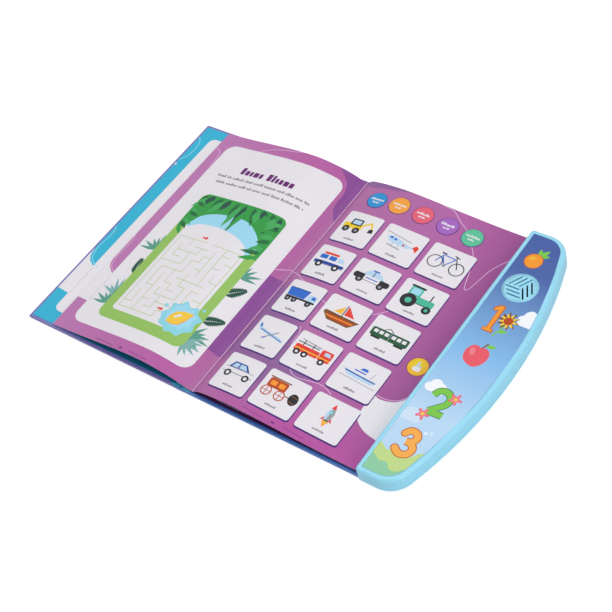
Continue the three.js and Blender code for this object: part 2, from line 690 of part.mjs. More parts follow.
function batteryCell(index) {
  const front = CELL_FRONT - NUB_LENGTH;
  const back = CELL_FRONT - CELL_LENGTH;
  const points = [
    [0, back],
    [CELL_RADIUS - 0.5, back],
    [CELL_RADIUS, back + 0.5],
    [CELL_RADIUS, front - 0.5],
    [CELL_RADIUS - 0.5, front],
    [CELL_RADIUS * 0.36, front],
    [CELL_RADIUS * 0.36, CELL_FRONT],
    [0, CELL_FRONT],
  ].map(([radius, along]) => new THREE.Vector2(radius, along));
  const geometry = new THREE.LatheGeometry(points, 24);
  if (cellSide(index) < 0) geometry.rotateX(Math.PI);
  geometry.translate(cellX(index), BAY_Y, CELL_Z);
  return geometry;
}

function contactPlate(first, last, side) {
  const y = BAY_Y + side * (BAY_LENGTH / 2 - SEAT_GAP - PLATE_THICKNESS / 2);
  const half = CELL_RADIUS * 0.7;
  return box(cellX(first) - half, cellX(last) + half, y - PLATE_THICKNESS / 2, y + PLATE_THICKNESS / 2,
    CELL_Z - half, CELL_Z + half);
}

function contactSpring(index) {
  const side = -cellSide(index);
  const plateFace = BAY_LENGTH / 2 - SEAT_GAP - PLATE_THICKNESS;
  const cellBack = CELL_LENGTH - CELL_FRONT;
  const start = plateFace - SPRING_WIRE - SEAT_GAP;
  const end = cellBack + SPRING_WIRE + SEAT_GAP;
  const count = SPRING_TURNS * 10;
  const points = [];
  for (let i = 0; i <= count; i += 1) {
    const share = i / count;
    const angle = share * SPRING_TURNS * Math.PI * 2;
    const radius = CELL_RADIUS * (0.66 - 0.3 * share);
    const along = start + (end - start) * share;
    points.push([
      cellX(index) + radius * Math.cos(angle),
      BAY_Y + side * along,
      CELL_Z + radius * Math.sin(angle),
    ]);
  }
  return tube(points, SPRING_WIRE, 4, count);
}

function buildBatteries(group) {
  for (let index = 0; index < CELL_COUNT; index += 1) {
    addPart(`battery_cell_${index + 1}`, batteryCell(index), 'cell', group);
    addPart(`contact_spring_${index + 1}`, contactSpring(index), 'steel', group);
  }
  addPart('contact_plate_negative', contactPlate(0, 0, -1), 'steel', group);
  addPart('contact_plate_link_1', contactPlate(0, 1, 1), 'steel', group);
  addPart('contact_plate_link_2', contactPlate(1, 2, -1), 'steel', group);
  addPart('contact_plate_positive', contactPlate(2, 2, 1), 'steel', group);
}

// Circuit board and leads

function circuitBoard() {
  const halfWidth = BOARD_WIDTH / 2;
  const x0 = BOARD_X - halfWidth;
  const y0 = BOARD_Y - BOARD_LENGTH / 2;
  let board = toSolid(box(x0, BOARD_X + halfWidth, y0, y0 + BOARD_LENGTH, PCB_SEAT + SEAT_GAP, PCB_TOP));
  for (const [x, y] of postPlaces()) {
    board = board.subtract(toSolid(disc(PIN_RADIUS + FIT_CLEARANCE, x, y, 0, PCB_TOP + 1, 12)));
  }
  return toGeometry(board);
}

// A drop of potting resin, flat below and domed above.
function chipDome(x, y, radius, low, height) {
  const profile = [[0, low]];
  const steps = 6;
  for (let i = 0; i <= steps; i += 1) {
    const angle = (i / steps) * (Math.PI / 2);
    profile.push([radius * Math.cos(angle), low + 0.2 + height * Math.sin(angle)]);
  }
  profile[profile.length - 1][0] = 0;
  profile.splice(1, 0, [radius, low]);
  return revolve(profile, x, y, 24);
}

const LEAD_Z = FLOOR + LEAD_RADIUS + LEAD_SLACK;
const LEAD_PAD = [BOARD_Y + BOARD_LENGTH / 2 - 2, PCB_TOP + LEAD_RADIUS + SEAT_GAP];
const LEAD_LIFT = [BOARD_Y + BOARD_LENGTH / 2 + 4, PCB_TOP + 2 * LEAD_RADIUS];
const BAY_SIDE = BAY.x1 + BAY_WALL + 2;
const SPEAKER_LEAD_Z = SPEAKER_FOOT + 1.9;

// Leads lie on the floor beside the battery bay and end on the circuit board.
const LEADS = [
  {
    name: 'battery_lead_black',
    finish: 'black',
    route: [
      [cellX(0), BAY.y0 - SEAT_GAP, CELL_Z],
      [cellX(0), BAY.y0 - BAY_WALL - 1, CELL_Z],
      [cellX(0) + 0.5, BAY.y0 - 7, CELL_Z - 2.5],
      [cellX(0) + 3, BAY.y0 - LEAD_FALL, LEAD_Z],
      [cellX(0) + 4, LEAD_LIFT[0] + 8, LEAD_Z + 1],
      [BOARD_X - 2.5, ...LEAD_LIFT],
      [BOARD_X - 3, ...LEAD_PAD],
    ],
  },
  {
    name: 'battery_lead_red',
    finish: 'red',
    route: [
      [cellX(2), BAY.y1 + SEAT_GAP, CELL_Z],
      [cellX(2), BAY.y1 + BAY_WALL + 1, CELL_Z],
      [cellX(2) + 3.5, BAY.y1 + 6.5, CELL_Z - 2.5],
      [BAY_SIDE, BAY.y1 + 2, LEAD_Z],
      [BAY_SIDE, BAY_Y, LEAD_Z],
      [BAY_SIDE - 1, BAY.y0, LEAD_Z],
      [BOARD_X + 12, LEAD_LIFT[0] + 14, LEAD_Z + 0.6],
      [BOARD_X + 1, ...LEAD_LIFT],
      [BOARD_X, ...LEAD_PAD],
    ],
  },
  speakerLead('speaker_lead_1', 'black', 0),
  speakerLead('speaker_lead_2', 'red', 1),
];

function speakerLead(name, finish, index) {
  const side = BAY_SIDE + 1.6 * (index + 1);
  return {
    name,
    finish,
    route: [
      [GRILLE_X + 6.2 + 2.4 * index, GRILLE_Y - 10.8 + 1.4 * index, SPEAKER_LEAD_Z],
      [GRILLE_X + 14 + 2.4 * index, GRILLE_Y - 24.6 + index, LEAD_Z],
      [BAY.x1 - 1 + 2 * index, BAY.y1 + 12 + index, LEAD_Z],
      [side - 0.2 - 0.2 * index, BAY.y1 + 4, LEAD_Z],
      [side, BAY_Y, LEAD_Z],
      [side - 0.6, BAY.y0, LEAD_Z],
      [BOARD_X + 17 + 2.5 * index, LEAD_LIFT[0] + 15 - index, LEAD_Z + 0.6],
      [BOARD_X + 5 + 3 * index, ...LEAD_LIFT],
      [BOARD_X + 3 + 3 * index, ...LEAD_PAD],
    ],
  };
}

function resonator(low) {
  const x = BOARD_X + RESONATOR.x;
  const y = BOARD_Y + RESONATOR.y;
  const halfWidth = RESONATOR.width / 2;
  const halfLength = RESONATOR.length / 2;
  return box(x - halfWidth, x + halfWidth, y - halfLength, y + halfLength, low, low + RESONATOR.height);
}

function sheetConnector() {
  const half = TAIL_WIDTH / 2 + CONNECTOR.margin;
  return box(
    TAIL_END + SEAT_GAP,
    TAIL_END + CONNECTOR.depth,
    TAIL_Y - half,
    TAIL_Y + half,
    FLOOR + FIT_CLEARANCE,
    PCB_SEAT,
  );
}

function buildCircuit(group) {
  addPart('circuit_board', circuitBoard(), 'board', group);
  const low = PCB_TOP + SEAT_GAP;
  const chip = chipDome(BOARD_X + CHIP.x, BOARD_Y + CHIP.y, CHIP.radius, low, CHIP.height);
  addPart('voice_chip', chip, 'black', group);
  const top = low + CAPACITOR.height;
  const capacitor = disc(CAPACITOR.radius, BOARD_X + CAPACITOR.x, BOARD_Y + CAPACITOR.y, low, top, 20);
  addPart('capacitor', capacitor, 'black', group);
  addPart('resonator', resonator(low), 'steel', group);
  addPart('sheet_connector', sheetConnector(), 'darkPlastic', group);
  LEADS.forEach(({ name, finish, route }) => addPart(name, tube(route, LEAD_RADIUS), finish, group));
}

const book = new THREE.Group();
buildCovers(book);
buildPages(book);
buildHousing(book);
buildSpeaker(book);
buildBatteries(book);
buildCircuit(book);

export default book;
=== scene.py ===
"""Looks of an open children's sound book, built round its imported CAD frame.

Sizes are written in millimetres in the part's own frame: X across the open book, Y up the
page, Z up from the table. Meshes are made in metres.
"""
import json
import logging
import math
import random
from dataclasses import dataclass, field
from enum import Enum
from typing import Callable, Sequence

import bmesh
import bpy
import numpy as np
from mathutils import Matrix, Vector
from mathutils.geometry import delaunay_2d_cdt

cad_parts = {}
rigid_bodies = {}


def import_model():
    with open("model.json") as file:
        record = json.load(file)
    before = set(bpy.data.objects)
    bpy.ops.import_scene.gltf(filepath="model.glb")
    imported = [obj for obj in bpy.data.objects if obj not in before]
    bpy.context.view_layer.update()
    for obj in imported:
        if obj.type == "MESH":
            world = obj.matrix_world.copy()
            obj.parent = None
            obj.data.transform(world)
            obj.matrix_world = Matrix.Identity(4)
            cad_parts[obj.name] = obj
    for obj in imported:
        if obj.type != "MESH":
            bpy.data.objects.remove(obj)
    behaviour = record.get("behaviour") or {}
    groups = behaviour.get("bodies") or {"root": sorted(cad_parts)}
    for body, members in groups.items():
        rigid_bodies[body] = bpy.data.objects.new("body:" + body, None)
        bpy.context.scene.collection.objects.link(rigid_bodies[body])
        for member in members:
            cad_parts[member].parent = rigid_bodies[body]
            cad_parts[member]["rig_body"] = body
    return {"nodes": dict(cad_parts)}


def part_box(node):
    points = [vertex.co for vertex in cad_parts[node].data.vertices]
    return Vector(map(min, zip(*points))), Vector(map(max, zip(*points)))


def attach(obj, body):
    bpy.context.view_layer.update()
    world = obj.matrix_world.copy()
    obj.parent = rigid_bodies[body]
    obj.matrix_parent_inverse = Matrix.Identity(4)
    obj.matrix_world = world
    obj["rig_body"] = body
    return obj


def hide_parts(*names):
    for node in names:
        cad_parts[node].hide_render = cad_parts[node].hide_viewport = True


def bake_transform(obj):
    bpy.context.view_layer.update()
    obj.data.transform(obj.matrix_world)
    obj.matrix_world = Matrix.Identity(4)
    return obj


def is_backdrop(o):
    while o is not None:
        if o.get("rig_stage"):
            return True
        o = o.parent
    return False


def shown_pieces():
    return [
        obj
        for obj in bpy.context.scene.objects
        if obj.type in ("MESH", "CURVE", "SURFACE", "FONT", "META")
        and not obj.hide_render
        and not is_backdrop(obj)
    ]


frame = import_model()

MM = 0.001
LOG = logging.getLogger("sound_book")
Point = tuple[float, float]
Place = tuple[float, float, float]
Colour = tuple[float, float, float]
Links = dict[str | int, object]
Sockets = dict[str, tuple[str, object]]
Mesh, Object, Material = bpy.types.Mesh, bpy.types.Object, bpy.types.Material
Socket, Tree = bpy.types.NodeSocket, bpy.types.NodeTree

PAGE_HALF_HEIGHT = 140.0
COVER_HALF_HEIGHT = 142.5
BOARD_THICKNESS = 2.5
BACK_HINGE_X = -8.5
FRONT_HINGE_X = -20.5


class Ink(Enum):
    """Printing inks and paper colours as they look on the sheet, in sRGB, with some colours darkened as
    painted shade.
    """

    PAGE = 0xB270A7
    PAGE_FOOT = 0xB45AA1
    PLUM = 0x8D5698
    PLUM_PALE = 0x90669A
    SHADOW = 0x4A3078
    WHITE = 0xE6E3E9
    SWIRL = 0xDDB4DA
    CAPTION = 0x8C8890
    TITLE = 0x6B2D73
    FOLIO = 0x6E3A7C
    PAPER_EDGE = 0xC9B0BE
    # The top page's purple lower side, darkened as painted shade under its arch
    UNDERSIDE = 0x5A2A66
    TEAL = 0x42B3D4
    # Darker teal that paints the shade the turned leaf casts on the endpaper
    TEAL_SHADE = 0x1F6E8C
    TEAL_LINE = 0x9ADCF0
    GRASS = 0x96C066
    LEAF = 0x3F9A4E
    LEAF_DARK = 0x2B6E46
    LEAF_DEEP = 0x33564A
    JUNGLE = 0x4CA860
    SPRAY = 0x5E9C8A
    TEAL_LEAF = 0x7FB0AC
    SKY = 0xA0D8F0
    POND = 0x8FD4E4
    MAZE = 0xBCC68A
    SUN = 0xF2C94C
    RED = 0xE04A40
    ORANGE = 0xF29B3C
    AMBER = 0xF4AE55
    YELLOW = 0xE9C93C
    GOLD = 0xF0B840
    BLUE = 0x3F6FC8
    DEEP_BLUE = 0x2F4C9C
    PALE_BLUE = 0xB9D5EE
    MINT = 0x53B79A
    BOTTLE = 0x1F5B43
    BROWN = 0x7C5534
    RUST = 0xB8502F
    DARK = 0x2E2F36
    GREY = 0x9A9CA4
    BUTTON_BLUE = 0x3D93CF
    BUTTON_ORANGE = 0xEFA24A
    BUTTON_RED = 0xE2677B
    BUTTON_PURPLE = 0xA56BBF
    BUTTON_GREEN = 0x62C09A
    FILM_SKY = 0x6E96CE
    CLOUD = 0xF4F7FC
    CLOUD_PALE = 0xCFE2F6
    HILL = 0xC0D98C
    HILL_FAR = 0x8FCBA4
    CORAL = 0xE8606C
    PETAL = 0xEC8390
    APPLE_LEAF = 0x7CC651

    @property
    def linear(self) -> Colour:
        """The ink's own colour, as linear RGB."""
        return under_gloss(self.value)


# What a sheet's surface reflects by itself, and the share of light that the ink then gets
SURFACE_GLOSS = 0.030
INK_LIGHT = 0.88


def to_linear(value: float) -> float:
    """One sRGB channel as linear light."""
    return value / 12.92 if value <= 0.04045 else ((value + 0.055) / 1.055) ** 2.4


def split_code(code: int) -> Colour:
    """An sRGB code as linear RGB."""
    return tuple(to_linear((code >> shift & 255) / 255) for shift in (16, 8, 0))


def under_gloss(code: int) -> Colour:
    """The colour of an ink that looks like an sRGB code once the sheet's own gloss is added."""
    return tuple(max((value - SURFACE_GLOSS) / INK_LIGHT, 0.002) for value in split_code(code))


def clamp(value: float) -> float:
    """A value held between 0 and 1."""
    return min(max(value, 0.0), 1.0)


def mix(a: Colour, b: Colour, share: float) -> Colour:
    """The colour that is the given share of the way from a to b."""
    return tuple(x + (y - x) * share for x, y in zip(a, b))


# Gradients as stops, each a place in millimetres and a colour: up the film, and across the page
FILM_STOPS = ((-70.0, 0xBAD9F4), (0.0, 0x88BCEB), (95.0, 0x5269A8), (140.0, 0x4E63A4))
PAGE_STOPS = (
    (-176.0, 0xBB7DB1), (-30.0, 0xB562A2), (4.0, 0xB072A4), (110.0, 0xB16AA5), (179.0, 0x9F5892)
)
# The paper that lines the back cover's inner side: its purple darkened as painted shade of the hollow under
# the pages
SHADED_LINING = 0x4A1F58
# The warmer foot of the right page: where it starts, and over which height and width it fades in
FOOT_START, FOOT_FADE, FOOT_WIDTH = -86.0, 44.0, 90.0
# An arrow that points right
ARROW = ((-3, -0.9), (1, -0.9), (1, -2.6), (4, 0), (1, 2.6), (1, 0.9), (-3, 0.9))
# The soft plum cloud on the right page
PLUM_CLOUD = (
    (-6, 1), (12, -2), (30, -16), (46, -36), (62, -62), (92, -82), (90, -104), (58, -122), (34, -116),
    (14, -99), (-6, -98)
)
PLUM_SOFTNESS = 14.0


def gradient(stops: Sequence[tuple[float, int]], place: float) -> Colour:
    """The colour of a gradient at a place.

    Args:
        stops: places and their colours as sRGB codes.
        place: the place.

    Returns:
        Linear RGB.
    """
    places = [stop for stop, _ in stops]
    channels = zip(*(under_gloss(code) for _, code in stops))
    return tuple(float(np.interp(place, places, channel)) for channel in channels)


def inside(outline: Sequence[Point], x: float, y: float) -> float:
    """How far a place lies inside an outline, negative outside it.

    Args:
        outline: the outline.
        x, y: the place.

    Returns:
        The distance.
    """
    nearest, within = math.inf, False
    for (ax, ay), (bx, by) in zip(outline, (*outline[1:], outline[0])):
        t = clamp(((x - ax) * (bx - ax) + (y - ay) * (by - ay)) / ((bx - ax) ** 2 + (by - ay) ** 2))
        nearest = min(nearest, math.hypot(x - ax - t * (bx - ax), y - ay - t * (by - ay)))
        if (ay > y) != (by > y) and x < ax + (y - ay) * (bx - ax) / (by - ay):
            within = not within
    return nearest if within else -nearest


def shade_of(ink: Ink, x: float, y: float) -> Colour:
    """The colour of an ink at a place on the sheet: some inks change softly from place to place.

    Args:
        ink: the ink.
        x: place across the book, in millimetres.
        y: place up the page, in millimetres.

    Returns:
        Linear RGB.
    """
    if ink is Ink.PAGE:
        colour = gradient(PAGE_STOPS, x)
        if x > 0:
            foot = clamp((FOOT_START - y) / FOOT_FADE) * min(x / FOOT_WIDTH, 1.0)
            cloud = clamp(0.5 + inside(PLUM_CLOUD, x, y) / PLUM_SOFTNESS)
            colour = mix(mix(colour, Ink.PAGE_FOOT.linear, foot), Ink.PLUM_PALE.linear, cloud)
        return colour
    if ink is Ink.FILM_SKY:
        return gradient(FILM_STOPS, y)
    return ink.linear


# Outlines in the plane of a sheet


def disc(cx: float, cy: float, radius: float, sides: int = 28) -> list[Point]:
    """A round outline."""
    turns = [2 * math.pi * i / sides for i in range(sides)]
    return [(cx + radius * math.cos(t), cy + radius * math.sin(t)) for t in turns]


def oval(cx: float, cy: float, rx: float, ry: float, turn: float = 0, sides: int = 28) -> list[Point]:
    """An elliptical outline.

    Args:
        cx, cy: its middle.
        rx, ry: its half sizes.
        turn: the angle that it is turned by, in degrees.
        sides: its number of points.

    Returns:
        The outline.
    """
    c, s = math.cos(math.radians(turn)), math.sin(math.radians(turn))
    flat = [(rx * x, ry * y) for x, y in disc(0, 0, 1, sides)]
    return [(cx + x * c - y * s, cy + x * s + y * c) for x, y in flat]


def box(x0: float, y0: float, x1: float, y1: float, radius: float = 0) -> list[Point]:
    """A rectangle with round corners.

    Args:
        x0, y0, x1, y1: two opposite corners.
        radius: the corners' radius.

    Returns:
        The outline, anticlockwise.
    """
    x0, x1, y0, y1 = min(x0, x1), max(x0, x1), min(y0, y1), max(y0, y1)
    radius = min(radius, 0.48 * (x1 - x0), 0.48 * (y1 - y0))
    if radius <= 0:
        return [(x0, y0), (x1, y0), (x1, y1), (x0, y1)]
    steps = 3 if radius < 3 else 7
    outline = []
    corners = ((x1, y0, 1, -1, -90), (x1, y1, 1, 1, 0), (x0, y1, -1, 1, 90), (x0, y0, -1, -1, 180))
    for x, y, sx, sy, start in corners:
        for i in range(steps + 1):
            t = math.radians(start + 90 * i / steps)
            outline.append(
                (x - sx * radius + radius * math.cos(t), y - sy * radius + radius * math.sin(t))
            )
    return outline


def polygon(*values: float) -> list[Point]:
    """An outline from a row of x and y values."""
    return list(zip(values[::2], values[1::2]))


def smooth(points: Sequence[Point], closed: bool = True, steps: int = 6) -> list[Point]:
    """A Catmull-Rom curve through some points.

    Args:
        points: the points that the curve passes.
        closed: whether it runs back to its first point.
        steps: curve points for each span.

    Returns:
        The curve's points.
    """
    count = len(points)
    spans = count if closed else count - 1
    grid = np.array(points, float)
    curve = []
    for i in range(spans):
        near = [(i + k) % count if closed else min(max(i + k, 0), count - 1) for k in (-1, 0, 1, 2)]
        a, b, c, d = grid[near]
        for k in range(steps):
            t = k / steps
            p = 0.5 * (
                2 * b + (c - a) * t + (2 * a - 5 * b + 4 * c - d) * t * t + (3 * b - a - 3 * c + d) * t**3
            )
            curve.append((float(p[0]), float(p[1])))
    if not closed:
        curve.append(tuple(points[-1]))
    return curve


def ribbon(points: Sequence[Point], width: float) -> list[list[Point]]:
    """A stroke along a line, as one four-sided outline for each of its spans.

    Args:
        points: the line's points.
        width: the stroke's width.

    Returns:
        The outlines.
    """
    grid = np.array(points, float)
    along = np.gradient(grid, axis=0)
    along /= np.maximum(np.linalg.norm(along, axis=1, keepdims=True), 1e-9)
    side = np.stack([-along[:, 1], along[:, 0]], axis=1) * width / 2
    left, right = grid + side, grid - side
    spans = range(len(grid) - 1)
    return [[tuple(right[i]), tuple(right[i + 1]), tuple(left[i + 1]), tuple(left[i])] for i in spans]


def line(x0: float, y0: float, x1: float, y1: float, width: float) -> list[Point]:
    """A straight stroke."""
    return ribbon([(x0, y0), (x1, y1)], width)[0]


def blade(x: float, y: float, length: float, angle: float, width: float) -> list[Point]:
    """A pointed plant leaf that grows from a point.

    Args:
        x, y: where the leaf starts.
        length: its length.
        angle: its direction in degrees from X.
        width: its greatest width.

    Returns:
        The outline.
    """
    c, s = math.cos(math.radians(angle)), math.sin(math.radians(angle))
    half = ((0, 0), (0.18, 0.36), (0.42, 0.5), (0.7, 0.33), (1, 0))
    sides = [(a * length, b * width) for a, b in half]
    outline = sides + [(a, -b) for a, b in sides[-2:0:-1]]
    return [(x + a * c - b * s, y + a * s + b * c) for a, b in outline]


def petals(cx: float, cy: float, radius: float, count: int = 5) -> list[Point]:
    """A flower's outline with round petals.

    Args:
        cx, cy: its middle.
        radius: the petals' reach.
        count: the number of petals.

    Returns:
        The outline.
    """
    depth, sides = 0.28, 40
    outline = []
    for i in range(sides):
        t = 2 * math.pi * i / sides
        reach = radius * (1 - depth + depth * math.cos(count * t))
        outline.append((cx + reach * math.cos(t), cy + reach * math.sin(t)))
    return outline


def puff(cx: float, cy: float, width: float, height: float) -> list[list[Point]]:
    """A cloud.

    Args:
        cx, cy: its middle.
        width, height: its size.

    Returns:
        Overlapping rounds on a flat foot.
    """
    parts = ((-0.34, -0.1, 0.2), (-0.08, 0.14, 0.3), (0.22, 0.02, 0.25), (0.4, -0.14, 0.15))
    rounds = [oval(cx + a * width, cy + b * height, c * width, c * height * 1.25) for a, b, c in parts]
    return rounds + [
        box(cx - 0.42 * width, cy - 0.4 * height, cx + 0.46 * width, cy - 0.02 * height, 1.2)
    ]


SHAPES: dict[str, Callable[..., list[Point]]] = {
    "disc": lambda x, y, r, sides=20: disc(x, y, r, int(sides)), "oval": oval,
    "curve": lambda *v: smooth(polygon(*v)), "box": box, "line": line, "poly": polygon, "petals": petals,
    "blade": blade,
}

# Each picture is a row of "ink shape sizes", painted in order about the picture's middle
PICTURES: dict[str, str] = {
    "digger": """yellow box -14 -2 5 4 1; dark box -8 2 3 9.5 1; pale_blue box -6.6 3.4 1.6 8.2 .5;
        yellow line 4 3 11 9 2; yellow line 11 9.4 14.6 2 1.7; dark poly 12 -2 17 -1.4 16 3 12.6 2.4;
        dark disc -9.5 -3.4 3.5; grey disc -9.5 -3.4 1.4; dark disc 1 -3.4 3.5; grey disc 1 -3.4 1.4""",
    "seaplane": """grey line -15 8.5 8 5.6 .7; pale_blue poly -13 4.5 -6 6 9 1.6 14 3.6 15 2 6 -1.5 -9 0;
        blue box -10 3 -7.4 5 .4; blue box -6.2 2.4 -3.8 4.3 .4; red poly 11 2 15.5 -2 16 3.5 13.5 5;
        red disc 3.5 .8 1; grey line -9 -3.4 3 -4.6 1.1; grey line -5 0 -5.5 -3.6 .5;
        grey line 0 -1 -.4 -4 .5""",
    "bicycle": """dark disc -9 -3 6; white disc -9 -3 5.2; dark disc 9.5 -3.5 6; white disc 9.5 -3.5 5.2;
        blue line -9 -3 -5.5 5 .9; blue line -5.5 5 4.5 4.5 .9; blue line -1 -4 -6 4 .9;
        blue line -1 -4 4.6 4.4 .9; dark line 9.5 -3.5 4 7 .8; dark line 2.4 7.4 7 6.4 .9;
        dark line -8 6.4 -4 6.2 1.2; grey disc -1 -4 1.5""",
    "camper": """white box -13 -3 12 7 2.5; grey box -12.6 -3.4 12.6 -2.4 .4;
        deep_blue box -13 -2.6 13 0 .8; red box -9 6.6 4 8.6 .9; blue box -10.5 2 -4 6 .8;
        blue box -2.6 2 3.6 6 .8; pale_blue poly 5 2 5 6 9 6 11.6 2; dark disc -7.6 -3.4 2.9;
        white disc -7.6 -3.4 1.2; dark disc 7 -3.4 2.9; white disc 7 -3.4 1.2""",
    "coupe": """dark box -15 -3.4 15 1.8 2; white box -6.4 -3 6.6 1.9 .4;
        pale_blue poly -9 1.8 -5 6.6 4.4 6.6 9.6 1.8; dark line -.4 1.8 -.4 6.6 .7;
        blue box -3 6.6 2.6 7.9 .5; blue line -5 -.6 5 -.6 .9; dark disc -9 -3.8 2.8;
        grey disc -9 -3.8 1.2; dark disc 9 -3.8 2.8; grey disc 9 -3.8 1.2""",
    "tractor": """mint box -3 -2.6 12 3.4 1.4; mint box -11 2.4 -1 11 1; sky box -9.6 4 -2.4 9.6 .5;
        dark line 7.6 3 7.6 9 1; dark box -12 10.4 0 12 .6; dark disc -7.4 -2.4 6.2;
        mint disc -7.4 -2.4 2.6; dark disc 9 -5 3.5; mint disc 9 -5 1.4;
        bottle line -1 -2.6 11 -2.6 .9""",
    "lorry": """blue poly -15 8 4.6 8 3 -.6 -13.6 -.6; deep_blue line -14.6 7.6 4.4 7.6 .7;
        pale_blue box 5 -2 13 5.4 1.3; blue poly 8.6 1.4 8.6 4.4 11.4 4.4 12.6 1.4;
        dark box -14 -2.6 13.4 -.8 .4; dark disc -11 -3.6 2.6; grey disc -11 -3.6 1;
        dark disc -4.8 -3.6 2.6; grey disc -4.8 -3.6 1; dark disc 8.6 -3.6 2.6; grey disc 8.6 -3.6 1""",
    "sailboat": """brown poly -14 1.6 -15 -.6 -9 -6 8.6 -6 15 1; rust poly -12 -1 -8 -4.6 8 -4.6 12.4 -.6;
        orange line -12 -2.6 11 -2.2 .8; dark line -.4 1 -.4 11.4 .8; red poly .6 2.6 .6 11 9.4 2.8;
        gold poly -1.4 2.6 -1.4 9.6 -8 2.8""",
    "tram": """bottle box -16 -3.4 16 4.6 1.6; white box -14 0 -10.6 3 .4; white box -9.4 0 -6 3 .4;
        white box -4.8 0 -1.4 3 .4; white box 1.4 0 4.8 3 .4; white box 6 0 9.4 3 .4;
        white box 10.6 0 14 3 .4; grey line 0 -3 0 4.4 .7; dark box -14 -5 -6 -3.4 .5;
        dark box 6 -5 14 -3.4 .5; dark line -7 4.6 -3 7.4 .6; dark line -3 7.4 1 4.6 .6""",
    "glider": """pale_blue poly -15.6 6 -14 8.6 -11.6 5 10 .6 15 -1.4 13 -3 -6 .6 -13.4 3;
        deep_blue line -12 3.6 13.6 -2.2 .8; blue poly -16 9.6 -13.6 9 -12 5.4 -14 5.2;
        grey line -6 -5 6 5.4 1.3; blue line -5 -4.4 -3 -2.6 1.3""",
    "hoist": """red box -15 -3 4.6 2.8 .8; red box 5 -3 14.6 6.4 1.3;
        pale_blue poly 8 2.2 8 5 12 5 13.4 2.2; gold line -14.6 -.6 14.4 -.6 .9; grey box -15 4 3 5.4 .4;
        grey line -13 7.4 4 6.2 .8; dark line -10 2.8 -10 7 .7; dark line -2 2.8 -2 6.8 .7;
        dark disc -11.4 -3.8 2.6; white disc -11.4 -3.8 1.1; dark disc -5 -3.8 2.6;
        white disc -5 -3.8 1.1; dark disc 9 -3.8 2.6; white disc 9 -3.8 1.1""",
    "cruiser": """pale_blue poly -16 .6 15 -1 11 -4.6 -9 -4; deep_blue line -13 -.6 13.6 -1.8 1;
        white box -8 1 5 4 1; blue line -6.6 2.4 3.4 2.2 1.1; blue poly -3 4 -1 6.4 3 6.4 4 4;
        grey line 8 0 10 6 .5; grey line -15 -5.6 16 -7 .5""",
    "saloon": """white box -14 -3.2 14 2.4 2.2; grey line -13.6 -2.6 13.6 -2.6 .8;
        grey line -13.6 1.6 13.4 1.6 .5; deep_blue poly -11 2 -8 7.4 3 7.4 8.6 2;
        pale_blue poly -8.8 2.6 -7 6.4 -3.2 6.4 -3.2 2.6; pale_blue poly -2 2.6 -2 6.4 2.4 6.4 5.8 2.6;
        dark disc -8.4 -3.6 3; white disc -8.4 -3.6 1.5; dark disc 8.4 -3.6 3; white disc 8.4 -3.6 1.5""",
    "wagon": """rust box -13 1 3 9 1.6; orange box -11 3 -6 7 .8; orange box -4 3 1 7 .8;
        brown line -14 9.6 4 9.6 1; rust disc -10.4 -2.6 4.4; white disc -10.4 -2.6 3.5;
        rust line -10.4 -6.6 -10.4 1.4 .6; rust line -14.4 -2.6 -6.4 -2.6 .6; rust disc 1 -2.6 4.4;
        white disc 1 -2.6 3.5; rust line 1 -6.6 1 1.4 .6; rust line -3 -2.6 5 -2.6 .6;
        brown line 5 -.6 14.6 -2 .8; dark oval 12 -.6 4 5 10; brown line 9 2 15 1.2 .7;
        brown line 8.6 -3 15.4 -3.6 .7""",
    "rocket": """orange poly -3.6 -7 0 -14.5 3.6 -7; sun poly -2 -7 0 -11.4 2 -7;
        red poly -3 -2 -6.6 -8 -2.6 -6.4; red poly 3 -2 6.6 -8 2.6 -6.4;
        grey poly -3 -6.6 -4 2 -2.6 7 2.6 7 4 2 3 -6.6; pale_blue poly -3 -6.6 -4 2 -2.6 7 -.6 7 -.6 -6.6;
        red poly -2.6 7 0 13 2.6 7; mint disc 0 2.6 1.9; sky disc 0 2.6 1.1;
        dark box -2.6 -7.4 2.6 -6.2 .3""",
}
# The fixed artwork of each sheet, in the sheet's own place; the left page's light line along the gutter is a
# painted highlight
RIGHT_PAGE = """plum_pale curve -4 146 6 133 22 133.6 40 136.4 58 142 30 152;
    white curve 147.6 -71.8 154 -71.9 160.8 -71.2 169.6 -67.6 175.6 -60.6 181 -52 186 -80 183 -107 172
    -107.6 160.4 -105 150.4 -98.6 147.4 -90;
    swirl stroke .7 8 80 146 86 140 100 138 112 129.5 124 122 135 110 143 100 149 86 154 68 157 62.6 160
    66 162.4 77 166 92 172.6 105 180 113;
    swirl stroke .7 8 -3 13.6 6.6 11 19 5.4 33 0 52 -8 70 -10 88 -7 104 4 114 17 116 30;
    swirl stroke .7 8 50 -41 53.4 -47 56 -64 74 -87 102 -84 116 -88;
    swirl stroke .7 8 146 -66 152 -69.6 161 -69.4 170 -65.8 177 -57"""
# Its last line, in swirl ink at the gutter, is a painted highlight on the fold, partly a worn crease
LEFT_PAGE = """plum poly 5 1 -20 -2 -20 -97.6 5 -99;
    plum curve 6 146 -34 147 -26 136 -16.6 128 -12 116 -11.6 104 -9 92 2 82 8 110;
    swirl stroke .7 8 -178 118 -171 116 -166 108 -164 90 -163 60;
    swirl stroke .7 8 -124 127 -112 133 -100 136 -84 138 -70 142;
    swirl stroke .7 8 -15 6.6 -12 8.6 -7.6 12.4 -3 14 2 13;
    swirl stroke .7 8 -177 -14 -175 -18 -173.8 -24 -174.2 -33 -174.9 -44 -173.3 -52.6 -171.2 -57.5
    -167.3 -61 -160 -64.6;
    white box -163.4 -127 -15.6 126.6 11;
    white poly -150 -64 -161.7 -66 -166.7 -63.6 -171.8 -59.8 -175 -55.3 -176.4 -50 -182 -40 -182 -102.2
    -176.9 -102.4 -150 -103.6;
    swirl line -.5 -140 -.5 150 .8"""
GARDEN = """grass box -142.6 -113 -34.6 58.6 9;
    white box -131.6 -101 -45 36 4;
    sky curve -131 14 -131 38 -46 38 -45.4 2 -54 12 -72 19 -96 22 -118 20"""
